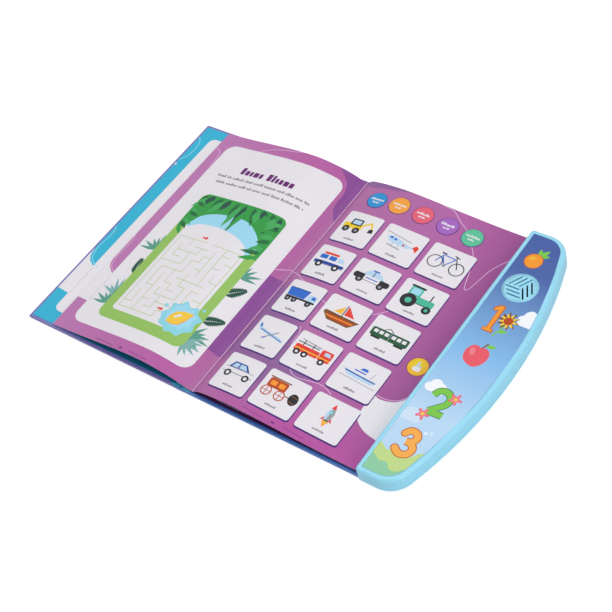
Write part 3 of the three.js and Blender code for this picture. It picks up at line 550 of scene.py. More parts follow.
CANOPY = """leaf curve -141.6 12 -142.4 48 -138 56.6 -130 58.4 -84 58.5 -46 58.4 -37 55.4 -34.9 46 -35.2
    4 -42 14 -50 27 -72 39 -104 38 -124 30 -133 15"""
ENDPAPER = """white box -190 -125 -30 127.6 7;
    white poly -180 -64.4 -188.6 -65.7 -193 -64.1 -198.1 -60.8 -201.5 -56.6 -203.5 -51.7 -204.2 -46.9
    -206 -41 -210 -41 -210 -101.8 -204.9 -102 -180 -104;
    teal_line stroke .8 6 -205 124 -200 119 -197.6 108 -199 96 -205 88;
    teal_line stroke .8 6 -206 -13 -203.6 -15 -201.6 -18.4 -200.7 -23 -201 -30 -202.2 -38 -202.1 -46
    -200.4 -52.5 -197.3 -58.2 -192.7 -61.8 -184 -65;
    white box -205 80.6 -202.4 83.6 1"""
HILLS_AND_ORANGE = """hill curve 178 -114 186 -112 193 -115.6 203 -113.6 212 -115.6 222 -106 232 -104
    232 -150 178 -150;
    hill_far curve 178 -124 187 -124 193 -127.4 200 -126.4 206 -131.4 212 -130.6 218 -127 222 -150 178
    -150;
    apple_leaf blade 203 117 11 62 5;
    apple_leaf blade 203 117 9 112 4.4;
    apple_leaf blade 203 117 9 20 4;
    rust disc 200 110.4 8.7 36;
    orange disc 200 110.4 8.1 36;
    gold oval 197.8 113 3 2 30"""
SUNFLOWER_AND_APPLE = """brown petals 214.6 42 10.4 10;
    sun petals 214.6 42 8.6 9;
    rust disc 214.6 42 4.2 28;
    brown line 209.6 7 212.4 13.4 1.4;
    apple_leaf blade 212 10.6 9 10 4.4;
    coral curve 209 7 214 8 219 3 218.6 -6 213 -13 207 -13 200 -9 197.6 0 201 7 205.6 8;
    petal oval 203.6 1 2.4 4.2 20"""
# The numeral one and its rim, about the numeral's middle
NUMERAL_ONE_RIM = """rust poly -4.7 -15.6 5.3 -15.6 5.3 -11.4 2.9 -11.4 2.9 15 -1.5 15
    -6.9 10.6 -5.3 6.4 -2.1 8.2 -2.1 -11.4 -4.7 -11.4"""
NUMERAL_ONE = """orange poly -4 -15 4.6 -15 4.6 -12 2.2 -12 2.2 14.4 -1.2 14.4
    -6 10.4 -4.9 7.5 -1.5 9.4 -1.5 -12 -4 -12"""
PICTURE_ORDER = (
    "digger", "seaplane", "bicycle", "camper", "coupe", "tractor", "lorry", "sailboat", "tram",
    "glider", "hoist", "cruiser", "saloon", "wagon", "rocket",
)


@dataclass
class Drawing:
    """Flat print: shapes in page millimetres, painted in order inside an outline."""

    outline: list[Point]
    paper: Ink
    step_x: float = 2.5
    step_y: float = 20.0
    holes: list[list[Point]] = field(default_factory=list)
    shapes: list[tuple[Ink, list[Point]]] = field(default_factory=list)

    def paint(self, ink: Ink, *outlines: list[Point]) -> None:
        """Adds shapes of one ink on top of what is there."""
        self.shapes += [(ink, outline) for outline in outlines]

    def draw(self, text: str) -> None:
        """Adds shapes in the sheet's own place. A stroke gives its width and its steps first.

        Args:
            text: the shapes, as a row of "ink shape sizes".
        """
        for part in text.split(";"):
            ink, shape, *sizes = part.split()
            values = list(map(float, sizes))
            if shape == "stroke":
                curve = smooth(polygon(*values[2:]), False, int(values[1]))
                self.paint(Ink[ink.upper()], *ribbon(curve, values[0]))
            else:
                self.paint(Ink[ink.upper()], SHAPES[shape](*values))

    def picture(self, text: str, cx: float, cy: float, width: float, height: float) -> None:
        """Adds a picture that is written as a row of "ink shape sizes".

        Args:
            text: the picture.
            cx, cy: where its middle goes.
            width, height: the room that it fills.
        """
        parts = [part.split() for part in text.split(";")]
        flats = [SHAPES[shape](*map(float, sizes)) for _, shape, *sizes in parts]
        low, high = np.min(np.concatenate(flats), axis=0), np.max(np.concatenate(flats), axis=0)
        scale = min(width / (high[0] - low[0]), height / (high[1] - low[1]))
        shift = np.array([cx, cy]) - scale * (low + high) / 2
        for (ink, *_), flat in zip(parts, flats):
            self.paint(Ink[ink.upper()], [tuple(p) for p in np.array(flat) * scale + shift])

    def words(
        self, ink: Ink, x0: float, x1: float, y: float, height: float, seed: int, letters: int
    ) -> None:
        """Adds a line of blind text: small blocks in place of letters.

        Args:
            ink: the blocks' ink.
            x0, x1: where the line starts and ends.
            y: the middle of a low block.
            height: a low block's height.
            seed: fixes the blocks.
            letters: the mean number of blocks in a word.
        """
        draw = random.Random(seed)
        x, left = x0, letters
        while x < x1 - 0.4 * height:
            wide = height * draw.uniform(0.5, 0.95)
            tall = height * draw.choice((0, 0, 0.45))
            self.paint(
                ink, box(x, y - height / 2, min(x + wide, x1), y + height / 2 + tall, height * 0.16)
            )
            x += wide + height * 0.2
            left -= 1
            if left < 1:
                left = max(2, round(letters * draw.uniform(0.5, 1.5)))
                x += height * 0.75

    def cut(self) -> tuple[list[Point], list[tuple[tuple[int, ...], Ink]]]:
        """Cuts the drawing into triangles that each hold one ink.

        Returns:
            The points, and each triangle with its ink.
        """
        layers = [self.outline, *self.holes, *(outline for _, outline in self.shapes)]
        inks = [self.paper, *(None for _ in self.holes), *(ink for ink, _ in self.shapes)]
        points: list[Vector] = []
        faces, edges = [], []
        for outline in layers:
            area = sum(a[0] * b[1] - b[0] * a[1] for a, b in zip(outline, outline[1:] + outline[:1]))
            ordered = outline if area > 0 else outline[::-1]
            faces.append(list(range(len(points), len(points) + len(ordered))))
            points += [Vector(p) for p in ordered]
        low, high = np.min(self.outline, axis=0), np.max(self.outline, axis=0)
        for axis, step in ((0, self.step_x), (1, self.step_y)):
            for place in np.arange(low[axis] + step, high[axis] - step * 0.3, step):
                ends = [
                    (place, low[1]), (place, high[1])
                ] if axis == 0 else [(low[0], place), (high[0], place)]
                edges.append((len(points), len(points) + 1))
                points += [Vector(end) for end in ends]
        cut = delaunay_2d_cdt(points, edges, faces, 1, 1e-4)
        blocked = set(range(1, len(self.holes) + 1))
        kept = []
        for triangle, sources in zip(cut[2], cut[5]):
            if 0 in sources and not blocked & set(sources):
                kept.append((tuple(triangle), inks[max(sources)]))
        return [(p.x, p.y) for p in cut[0]], kept


@dataclass
class Profile:
    """The section of a sheet across the book: its height at each x, level up the page."""

    xs: np.ndarray
    zs: np.ndarray

    @classmethod
    def from_node(cls, node: str, top: bool) -> "Profile":
        """Reads the upper or lower side of a CAD sheet.

        Args:
            node: the sheet's CAD node.
            top: whether its upper side is read.

        Returns:
            The profile.
        """
        places: dict[float, list[float]] = {}
        for vertex in frame["nodes"][node].data.vertices:
            places.setdefault(round(vertex.co.x / MM, 2), []).append(vertex.co.z / MM)
        xs = sorted(places)
        choose = max if top else min
        return cls(np.array(xs), np.array([choose(places[x]) for x in xs]))

    def height(self, x: np.ndarray | float) -> np.ndarray:
        """Finds heights by a smooth curve through the profile's points.

        Args:
            x: one place across the book, or more.

        Returns:
            The height at each.
        """
        slopes = np.gradient(self.zs, self.xs)
        x = np.clip(x, self.xs[0], self.xs[-1])
        i = np.clip(np.searchsorted(self.xs, x) - 1, 0, len(self.xs) - 2)
        span = self.xs[i + 1] - self.xs[i]
        t = (x - self.xs[i]) / span
        a = 2 * t**3 - 3 * t**2 + 1
        b = t**3 - 2 * t**2 + t
        c = t**3 - t**2
        return a * self.zs[i] + b * span * slopes[i] + (1 - a) * self.zs[i + 1] + c * span * slopes[i + 1]

    def lowered(self, depth: float) -> "Profile":
        """The same profile, lower by a depth."""
        return Profile(self.xs, self.zs - depth)


def flat_profile(z: float) -> Profile:
    """A level profile."""
    return Profile(np.array([-1000.0, 0.0, 1000.0]), np.array([z, z, z]))


def closed_mesh(name: str, vertices: Sequence[Place], faces: Sequence[tuple[int, ...]]) -> Mesh:
    """A closed mesh whose faces all point outwards.

    Args:
        name: its name.
        vertices: its points in millimetres.
        faces: its faces, either way round.

    Returns:
        The mesh.
    """
    mesh = bpy.data.meshes.new(name)
    mesh.from_pydata([tuple(value * MM for value in v) for v in vertices], [], faces)
    shell = bmesh.new()
    shell.from_mesh(mesh)
    bmesh.ops.recalc_face_normals(shell, faces=shell.faces)
    shell.to_mesh(mesh)
    shell.free()
    return mesh


def plain_sheet(name: str, xs: np.ndarray, highs: np.ndarray, lows: np.ndarray, half: float) -> Mesh:
    """A closed sheet without print, whose height changes only across the book.

    Args:
        name: its name.
        xs: places across the book.
        highs, lows: its upper and lower side at each place.
        half: half its size up the page.

    Returns:
        The mesh, with four points for each place.
    """
    vertices, faces = [], [(0, 1, 2, 3)]
    for x, high, low in zip(xs, highs, lows):
        vertices += [(x, -half, high), (x, half, high), (x, half, low), (x, -half, low)]
    last = len(vertices) - 4
    for a in range(0, last, 4):
        faces += [(a + k, a + 4 + k, a + 4 + (k + 1) % 4, a + (k + 1) % 4) for k in range(4)]
    faces.append((last + 3, last + 2, last + 1, last))
    return closed_mesh(name, vertices, faces)


def add_object(name: str, mesh: Mesh) -> Object:
    """Puts a mesh into the scene as an object at the origin.

    Args:
        name: the object's name.
        mesh: its mesh.

    Returns:
        The object.
    """
    made = bpy.data.objects.new(name, mesh)
    bpy.context.scene.collection.objects.link(made)
    return made


def printed_sheet(
    name: str, drawing: Drawing, top: Profile, bottom: Profile, under: Ink, edge: Ink, material: Material
) -> Object:
    """Lays a drawing over a curved sheet and closes it with a lower side and edges.

    Args:
        name: the piece's name.
        drawing: the print.
        top: the sheet's upper side.
        bottom: its lower side.
        under: the ink of the lower side.
        edge: the colour of the cut edges.
        material: the paper's material, which reads the "ink" attribute.

    Returns:
        The sheet.
    """
    points, cells = drawing.cut()
    used = sorted({i for triangle, _ in cells for i in triangle})
    order = {old: new for new, old in enumerate(used)}
    plan = np.array([points[i] for i in used])
    count = len(plan)
    upper = np.minimum(top.height(plan[:, 0]), top.zs.max())
    lower = bottom.height(plan[:, 0])
    vertices = np.concatenate([np.column_stack([plan, upper]), np.column_stack([plan, lower])])
    faces, colours, normals = [], [], []
    seen: dict[tuple[int, Ink], Colour] = {}
    slopes = {
        side: (p.height(plan[:, 0] + 0.2) - p.height(plan[:, 0] - 0.2)) / 0.4
        for side, p in ((1, top), (-1, bottom))
    }
    sides: dict[tuple[int, int], Ink] = {}
    for triangle, ink in cells:
        a, b, c = (order[i] for i in triangle)
        u, v = plan[b] - plan[a], plan[c] - plan[a]
        if u[0] * v[1] - u[1] * v[0] < 0:
            b, c = c, b
        for face, side in (((a, b, c), 1), ((c + count, b + count, a + count), -1)):
            faces.append(face)
            for i in face:
                key = (i % count, ink if side > 0 else under)
                if key not in seen:
                    seen[key] = shade_of(key[1], *plan[i % count])
                colours.append(seen[key])
                normal = Vector((-slopes[side][i % count], 0, 1)).normalized() * side
                normals.append(normal)
        for pair in ((a, b), (b, c), (c, a)):
            if (pair[1], pair[0]) in sides:
                del sides[(pair[1], pair[0])]
            else:
                sides[pair] = ink
    for a, b in sides:
        faces.append((b, a, a + count, b + count))
        away = Vector((plan[b][1] - plan[a][1], plan[a][0] - plan[b][0], 0)).normalized()
        normals += [away] * 4
        colours += [edge.linear] * 4
    mesh = bpy.data.meshes.new(name)
    mesh.from_pydata([tuple(v) for v in vertices * MM], [], faces)
    layer = mesh.color_attributes.new("ink", "FLOAT_COLOR", "CORNER")
    layer.data.foreach_set("color", np.array([(*c, 1.0) for c in colours], np.float32).ravel())
    mesh.shade_smooth()
    mesh.normals_split_custom_set([tuple(n) for n in normals])
    mesh.materials.append(material)
    return add_object(name, mesh)


# Materials


class ShaderGroup:
    """A shader node group with named inputs and outputs."""

    def __init__(self, name: str, inputs: Sockets, outputs: dict[str, str]) -> None:
        """Makes the group and its sockets.

        Args:
            name: the group's name.
            inputs: each input's socket type and default value.
            outputs: each output's socket type.
        """
        self.tree = bpy.data.node_groups.new(name, "ShaderNodeTree")
        for key, (kind, value) in inputs.items():
            socket = self.tree.interface.new_socket(key, in_out="INPUT", socket_type=kind)
            socket.default_value = value
        for key, kind in outputs.items():
            self.tree.interface.new_socket(key, in_out="OUTPUT", socket_type=kind)
        self.start = self.tree.nodes.new("NodeGroupInput")
        self.end = self.tree.nodes.new("NodeGroupOutput")

    def add(self, kind: str, links: Links | None = None, **settings: object) -> bpy.types.Node:
        """Adds a node to the group."""
        return add_node(self.tree, kind, links, **settings)


def add_node(
    tree: Tree, kind: str, links: Links | None = None, **settings: object
) -> bpy.types.Node:
    """Adds a node, with its inputs linked or set.

    Args:
        tree: the tree that takes the node.
        kind: the node's type.
        links: for each input, a socket to link or a value.
        settings: the node's own properties.

    Returns:
        The node.
    """
    node = tree.nodes.new(kind)
    for key, value in settings.items():
        setattr(node, key, value)
    for key, value in (links or {}).items():
        if isinstance(value, Socket):
            tree.links.new(value, node.inputs[key])
        else:
            node.inputs[key].default_value = value
    return node


def work_out(tree: Tree, operation: str, *values: object) -> Socket:
    """The result of a Math node on sockets or numbers."""
    return add_node(tree, "ShaderNodeMath", dict(enumerate(values)), operation=operation).outputs[0]


def ramp(
    tree: Tree, value: Socket, start: float, stop: float, low: object = 0.0, high: object = 1.0
) -> Socket:
    """A value that runs from low to high between two places."""
    return add_node(tree, "ShaderNodeMapRange", {0: value, 1: start, 2: stop, 3: low, 4: high}).outputs[0]


def blend(tree: Tree, share: Socket, first: object, second: object) -> Socket:
    """A mix of two colours."""
    return add_node(tree, "ShaderNodeMix", {0: share, 6: first, 7: second}, data_type="RGBA").outputs[2]


def drift_group() -> Tree:
    """The group that varies a colour slightly over a surface, as print and moulding do.

    Returns:
        The group's tree.
    """
    group = ShaderGroup(
        "Colour drift",
        {"Vector": ("NodeSocketVector", (0, 0, 0)), "Color": ("NodeSocketColor", (1, 1, 1, 1)),
         "Scale": ("NodeSocketFloat", 40.0), "Amount": ("NodeSocketFloat", 0.05)},
        {"Color": "NodeSocketColor", "Mask": "NodeSocketFloat"},
    )
    start = group.start.outputs
    noise = group.add(
        "ShaderNodeTexNoise", {"Vector": start["Vector"], "Scale": start["Scale"], "Detail": 4.0}
    )
    low, high = (work_out(group.tree, way, 1.0, start["Amount"]) for way in ("SUBTRACT", "ADD"))
    value = ramp(group.tree, noise.outputs["Fac"], 0.25, 0.75, low, high)
    tint = group.add("ShaderNodeHueSaturation", {"Color": start["Color"], "Value": value})
    group.tree.links.new(tint.outputs[0], group.end.inputs["Color"])
    group.tree.links.new(noise.outputs["Fac"], group.end.inputs["Mask"])
    return group.tree


def grain_group() -> Tree:
    """The group that gives a fine surface height and a roughness that varies with it.

    Returns:
        The group's tree.
    """
    group = ShaderGroup(
        "Surface grain",
        {
            "Vector": ("NodeSocketVector", (0, 0, 0)), "Fine": ("NodeSocketFloat", 1500.0),
            "Broad": ("NodeSocketFloat", 90.0), "Roughness": ("NodeSocketFloat", 0.4),
            "Spread": ("NodeSocketFloat", 0.06)
        },
        {"Height": "NodeSocketFloat", "Roughness": "NodeSocketFloat"},
    )
    start = group.start.outputs
    fine = group.add(
        "ShaderNodeTexNoise", {"Vector": start["Vector"], "Scale": start["Fine"], "Detail": 3.0}
    )
    broad = group.add(
        "ShaderNodeTexNoise", {"Vector": start["Vector"], "Scale": start["Broad"], "Detail": 2.0}
    )
    height = work_out(group.tree, "MULTIPLY_ADD", broad.outputs["Fac"], 0.6, fine.outputs["Fac"])
    low, high = (
        work_out(group.tree, way, start["Roughness"], start["Spread"]) for way in ("SUBTRACT", "ADD")
    )
    rough = ramp(group.tree, broad.outputs["Fac"], 0.3, 0.7, low, high)
    group.tree.links.new(height, group.end.inputs["Height"])
    group.tree.links.new(rough, group.end.inputs["Roughness"])
    return group.tree


DRIFT = drift_group()
GRAIN = grain_group()


class Pattern(Enum):
    """What a finish takes its base colour from."""

    PLAIN = "one colour"
    PRINT = "the sheet's ink attribute"
    COVERS = "blue, and periwinkle beyond the spine"
    CELL = "a jacket with a bare metal end"
    TRACKS = "copper tracks under solder mask"
    GRID = "fine conductive lines on film"


@dataclass(frozen=True)
class Finish:
    """One finish: its colours, gloss and surface grain."""

    name: str
    colour: int
    roughness: float = 0.4
    spread: float = 0.06
    metallic: float = 0.0
    gloss: float = 0.5
    coat: float = 0.0
    bump: float = 0.1
    fine: float = 1500.0
    broad: float = 90.0
    drift: float = 0.04
    pattern: Pattern = Pattern.PLAIN
    second: int = 0xFFFFFF

    @staticmethod
    def rgba(code: int) -> tuple[float, float, float, float]:
        """An sRGB code as linear RGBA."""
        return (*split_code(code), 1.0)

    def base(self, tree: Tree, place: Socket) -> Socket:
        """Adds the nodes of the pattern.

        Args:
            tree: the material's tree.
            place: the object coordinates.

        Returns:
            The socket that gives the base colour.
        """
        if self.pattern is Pattern.PRINT:
            return add_node(tree, "ShaderNodeAttribute", attribute_name="ink").outputs["Color"]
        axes = add_node(tree, "ShaderNodeSeparateXYZ", {0: place}).outputs
        if self.pattern is Pattern.COVERS:
            return self.lined_in_shade(tree, axes, ramp(tree, axes[0], -0.0212, -0.0192, 1.0, 0.0))
        if self.pattern is Pattern.CELL:
            share = ramp(tree, axes[1], 0.0262, 0.0266)
        elif self.pattern is Pattern.TRACKS:
            cells = add_node(
                tree, "ShaderNodeTexBrick",
                {
                    "Vector": place, "Scale": 90.0, "Color1": (0, 0, 0, 1),
                    "Color2": (0.25, 0.25, 0.25, 1), "Mortar": (1, 1, 1, 1), "Mortar Size": 0.03
                }
            )
            share = work_out(tree, "MULTIPLY", cells.outputs["Color"], 0.5)
        elif self.pattern is Pattern.GRID:
            wave = add_node(
                tree, "ShaderNodeTexWave", {"Vector": place, "Scale": 34.0}, wave_profile="SIN"
            )
            share = ramp(tree, wave.outputs["Fac"], 0.9, 0.96)
        else:
            patch = add_node(tree, "ShaderNodeTexNoise", {"Vector": place, "Scale": 60.0, "Detail": 3.0})
            share = work_out(tree, "MULTIPLY", patch.outputs["Fac"], 0.08)
        return blend(tree, share, self.rgba(self.colour), self.rgba(self.second))

    def lined_in_shade(self, tree: Tree, axes: bpy.types.NodeOutputs, front: Socket) -> Socket:
        """Adds the nodes that line the back cover's inner side with purple paper darkened as painted shade.

        Args:
            tree: the material's tree.
            axes: the object coordinates, one by one.
            front: the mask of the front cover.

        Returns:
            The socket that gives the base colour.
        """
        outside = blend(tree, front, self.rgba(self.colour), self.rgba(self.second))
        inner = ramp(tree, work_out(tree, "ABSOLUTE", axes[1]), 0.1394, 0.1396, 1.0, 0.0)
        right = work_out(tree, "GREATER_THAN", axes[0], -0.0078)
        high = work_out(tree, "GREATER_THAN", axes[2], 0.00245)
        mask = work_out(tree, "MULTIPLY", work_out(tree, "MULTIPLY", inner, right), high)
        # Painted shade: the back cover's inner face under the pages takes the darkened lining colour
        return blend(tree, mask, outside, self.rgba(SHADED_LINING))

    def material(self) -> Material:
        """Builds the material.

        Returns:
            The material.
        """
        made = bpy.data.materials.new(self.name)
        made.use_nodes = True
        tree = made.node_tree
        shader = tree.nodes["Principled BSDF"]
        place = add_node(tree, "ShaderNodeTexCoord").outputs["Object"]
        drift = add_node(tree, "ShaderNodeGroup", node_tree=DRIFT)
        grain = add_node(tree, "ShaderNodeGroup", node_tree=GRAIN)
        for node in (drift, grain):
            tree.links.new(place, node.inputs["Vector"])
        tree.links.new(self.base(tree, place), drift.inputs["Color"])
        drift.inputs["Amount"].default_value = self.drift
        for key, value in (
            ("Fine", self.fine), ("Broad", self.broad), ("Roughness", self.roughness),
            ("Spread", self.spread)
        ):
            grain.inputs[key].default_value = value
        bump = add_node(
            tree, "ShaderNodeBump",
            {"Strength": self.bump, "Distance": 0.0001, "Height": grain.outputs["Height"]}
        )
        tree.links.new(drift.outputs["Color"], shader.inputs["Base Color"])
        tree.links.new(grain.outputs["Roughness"], shader.inputs["Roughness"])
        tree.links.new(bump.outputs[0], shader.inputs["Normal"])
        shader.inputs["Metallic"].default_value = self.metallic
        shader.inputs["Specular IOR Level"].default_value = self.gloss
        shader.inputs["Coat Weight"].default_value = self.coat
        shader.inputs["Coat Roughness"].default_value = 0.2
        return made


FINISHES = {
    "page": Finish(
        "Coated page paper", 0xFFFFFF, 0.45, 0.05, gloss=0.3, bump=0.03, fine=500, drift=0.015,
        pattern=Pattern.PRINT
    ),
    # The leaves under the top page: purple from their print, darkened as painted shade under the arched page
    "leaves": Finish(
        "Leaf edges in painted shade", 0x4A1F58, 0.7, 0.05, gloss=0.2, bump=0.3, fine=4000, second=0x6B3B78
    ),
    "endpaper": Finish(
        "Printed endpaper", 0xFFFFFF, 0.45, 0.05, gloss=0.3, bump=0.03, fine=500, drift=0.015,
        pattern=Pattern.PRINT
    ),
    "covers": Finish(
        "Laminated cover paper", 0x3D6FBE, 0.34, 0.03, coat=0.2, bump=0.015, fine=500, drift=0.02,
        pattern=Pattern.COVERS, second=0x7A70B8
    ),
    "lining": Finish("Inside lining paper", 0x3FA8C8, 0.5, 0.05, bump=0.15, second=0x66C2DA),
    "housing": Finish(
        "Light blue moulded plastic", 0x9AE2FC, 0.3, 0.04, coat=0.1, bump=0.012, fine=400, broad=45,
        drift=0.01, second=0xA6E8FF
    ),
    "film": Finish(
        "Printed overlay film", 0xFFFFFF, 0.4, 0.03, gloss=0.3, bump=0.015, fine=500, drift=0.01,
        pattern=Pattern.PRINT
    ),
    "steel": Finish(
        "Plated steel", 0xB8BABD, 0.28, 0.08, metallic=1.0, bump=0.15, fine=3000, second=0x8E9094
    ),
    "dark_plastic": Finish("Black moulded plastic", 0x24252A, 0.5, 0.08, bump=0.15, second=0x3A3B41),
    "cone": Finish("Pressed paper cone", 0x2A2725, 0.8, 0.06, bump=0.5, fine=900, second=0x47403B),
    "foam": Finish("Grey gasket foam", 0x4A4B50, 0.9, 0.05, bump=0.8, fine=700, second=0x2E2F33),
    "cell": Finish(
        "Printed cell jacket", 0x2E3A4C, 0.3, 0.05, coat=0.3, bump=0.05, pattern=Pattern.CELL,
        second=0xC98B3C
    ),
    "laminate": Finish(
        "Solder mask", 0x1F6B3C, 0.35, 0.05, coat=0.2, bump=0.1, pattern=Pattern.TRACKS, second=0x7FB46A
    ),
    "sensor": Finish(
        "Polyester sensor film", 0xC9CDD2, 0.4, 0.05, bump=0.05, pattern=Pattern.GRID, second=0x8B9096
    ),
    "black_wire": Finish("Black soft insulation", 0x222225, 0.55, 0.08, bump=0.2, second=0x3C3C40),
    "red_wire": Finish("Red soft insulation", 0xB03028, 0.5, 0.08, bump=0.2, second=0xC85048),
    "dots": Finish("Tear line ink", 0x8F8C96, 0.6, 0.05, bump=0.1, second=0x77747E),
}
MATERIALS: dict[str, Material] = {key: finish.material() for key, finish in FINISHES.items()}


# Geometry nodes


class NodeRecipe:
    """A geometry node tree that is built here, with named inputs, and run on a mesh."""

    def __init__(self, name: str, inputs: Sockets) -> None:
        """Makes the tree with a geometry input and the named inputs.

        Args:
            name: the tree's name.
            inputs: each input's socket type and default value, None where it has none.
        """
        self.tree = bpy.data.node_groups.new(name, "GeometryNodeTree")
        self.tree.interface.new_socket("Geometry", in_out="INPUT", socket_type="NodeSocketGeometry")
        self.tree.interface.new_socket("Geometry", in_out="OUTPUT", socket_type="NodeSocketGeometry")
        self.sockets = {}
        for key, (kind, value) in inputs.items():
            socket = self.tree.interface.new_socket(key, in_out="INPUT", socket_type=kind)
            if value is not None:
                socket.default_value = value
            self.sockets[key] = socket.identifier
        self.start = self.tree.nodes.new("NodeGroupInput").outputs

    def add(self, kind: str, links: Links | None = None, **settings: object) -> bpy.types.Node:
        """Adds a node to the tree."""
        return add_node(self.tree, kind, links, **settings)

    def end(self, geometry: Socket, material: Material) -> None:
        """Ends the tree in real geometry of one material.

        Args:
            geometry: what the tree makes.
            material: its material.
        """
        real = self.add("GeometryNodeRealizeInstances", {"Geometry": geometry})
        dressed = self.add("GeometryNodeSetMaterial", {"Geometry": real.outputs[0], "Material": material})
        self.tree.links.new(dressed.outputs[0], self.tree.nodes.new("NodeGroupOutput").inputs[0])

    def run(self, name: str, source: Mesh, values: dict[str, object]) -> Object:
        """Runs the tree on a mesh and keeps the result as a plain mesh.

        Args:
            name: the new piece's name.
            source: the mesh that goes in.
            values: the named inputs' values.

        Returns:
            The new piece.
        """
        carrier = add_object(name + "_source", source)
        modifier = carrier.modifiers.new("recipe", "NODES")
        modifier.node_group = self.tree
        for key, value in values.items():
            modifier[self.sockets[key]] = value
        graph = bpy.context.evaluated_depsgraph_get()
        graph.update()
        mesh = bpy.data.meshes.new_from_object(carrier.evaluated_get(graph), depsgraph=graph)
        mesh.name = name
        carrier.modifiers.remove(modifier)
        bpy.data.objects.remove(carrier)
        return add_object(name, mesh)


def points_mesh(name: str, places: Sequence[Place]) -> Mesh:
    """A mesh of loose points.

    Args:
        name: its name.
        places: the points in millimetres.

    Returns:
        The mesh.
    """
    mesh = bpy.data.meshes.new(name)
    mesh.from_pydata([tuple(value * MM for value in place) for place in places], [], [])
    return mesh


def leaf_stack_recipe(material: Material) -> NodeRecipe:
    """The tree that repeats one leaf downwards, each a little out of line with the last.

    Args:
        material: the leaves' material.

    Returns:
        The recipe. It reads the leaf's "room" attribute, the free share of the full pitch.
    """
    recipe = NodeRecipe(
        "Leaf stack",
        {
            "Count": ("NodeSocketInt", 5), "Pitch": ("NodeSocketFloat", 0.0004),
            "Slip": ("NodeSocketFloat", 0.0003), "Seed": ("NodeSocketInt", 3)
        }
    )
    start = recipe.start
    rows = recipe.add("GeometryNodeMeshLine", {"Count": start["Count"], "Offset": (0, 0, 0)})
    number = recipe.add("GeometryNodeInputIndex")
    marked = recipe.add(
        "GeometryNodeStoreNamedAttribute",
        {"Geometry": rows.outputs[0], "Name": "leaf_number", "Value": number.outputs[0]},
        data_type="FLOAT", domain="POINT"
    )
    slip = recipe.add(
        "FunctionNodeRandomValue", {"Seed": start["Seed"], 0: (-1, -1, 0), 1: (0, 1, 0)},
        data_type="FLOAT_VECTOR"
    )
    shift = recipe.add(
        "ShaderNodeVectorMath", {0: slip.outputs[0], "Scale": start["Slip"]}, operation="SCALE"
    )
    moved = recipe.add(
        "GeometryNodeSetPosition", {"Geometry": marked.outputs[0], "Offset": shift.outputs[0]}
    )
    copies = recipe.add(
        "GeometryNodeInstanceOnPoints", {"Points": moved.outputs[0], "Instance": start["Geometry"]}
    )
    real = recipe.add("GeometryNodeRealizeInstances", {"Geometry": copies.outputs[0]})
    count = recipe.add("GeometryNodeInputNamedAttribute", {"Name": "leaf_number"}, data_type="FLOAT")
    room = recipe.add("GeometryNodeInputNamedAttribute", {"Name": "room"}, data_type="FLOAT")
    depth = work_out(recipe.tree, "MULTIPLY", count.outputs[0], room.outputs[0])
    drop = work_out(recipe.tree, "MULTIPLY", depth, start["Pitch"])
    way = recipe.add("ShaderNodeCombineXYZ", {2: work_out(recipe.tree, "MULTIPLY", drop, -1.0)})
    settled = recipe.add(
        "GeometryNodeSetPosition", {"Geometry": real.outputs[0], "Offset": way.outputs[0]}
    )
    recipe.end(settled.outputs[0], material)
    return recipe


def dot_line_recipe(material: Material) -> NodeRecipe:
    """The tree that sets a round dot on every point of a line.

    Args:
        material: the dots' material.

    Returns:
        The recipe.
    """
    recipe = NodeRecipe(
        "Dot line", {"Radius": ("NodeSocketFloat", 0.0003), "Depth": ("NodeSocketFloat", 0.00006)}
    )
    start = recipe.start
    dot = recipe.add(
        "GeometryNodeMeshCylinder", {"Vertices": 10, "Radius": start["Radius"], "Depth": start["Depth"]}
    )
    copies = recipe.add(
        "GeometryNodeInstanceOnPoints", {"Points": start["Geometry"], "Instance": dot.outputs[0]}
    )
    recipe.end(copies.outputs[0], material)
    return recipe


@dataclass(frozen=True)
class TearLine:
    """A line of dots up a sheet, along which a strip tears off."""

    x: float
    low: float
    high: float = -67.0
    pitch: float = 2.8
    radius: float = 0.45
    depth: float = 0.06

    def build(self, name: str, z: float) -> Object:
        """Builds the dots at a height."""
        points = points_mesh("dots", [(self.x, y, z) for y in np.arange(self.low, self.high, self.pitch)])
        return dot_line_recipe(MATERIALS["dots"]).run(
            name, points, {"Radius": self.radius * MM, "Depth": self.depth * MM}
        )


def screw_recipe(material: Material) -> NodeRecipe:
    """The tree that sets a copy of one screw on every point.

    Args:
        material: the screws' material.

    Returns:
        The recipe.
    """
    recipe = NodeRecipe("Screws", {"Screw": ("NodeSocketObject", None)})
    model = recipe.add("GeometryNodeObjectInfo", {"Object": recipe.start["Screw"]})
    copies = recipe.add(
        "GeometryNodeInstanceOnPoints",
        {"Points": recipe.start["Geometry"], "Instance": model.outputs["Geometry"]}
    )
    recipe.end(copies.outputs[0], material)
    return recipe


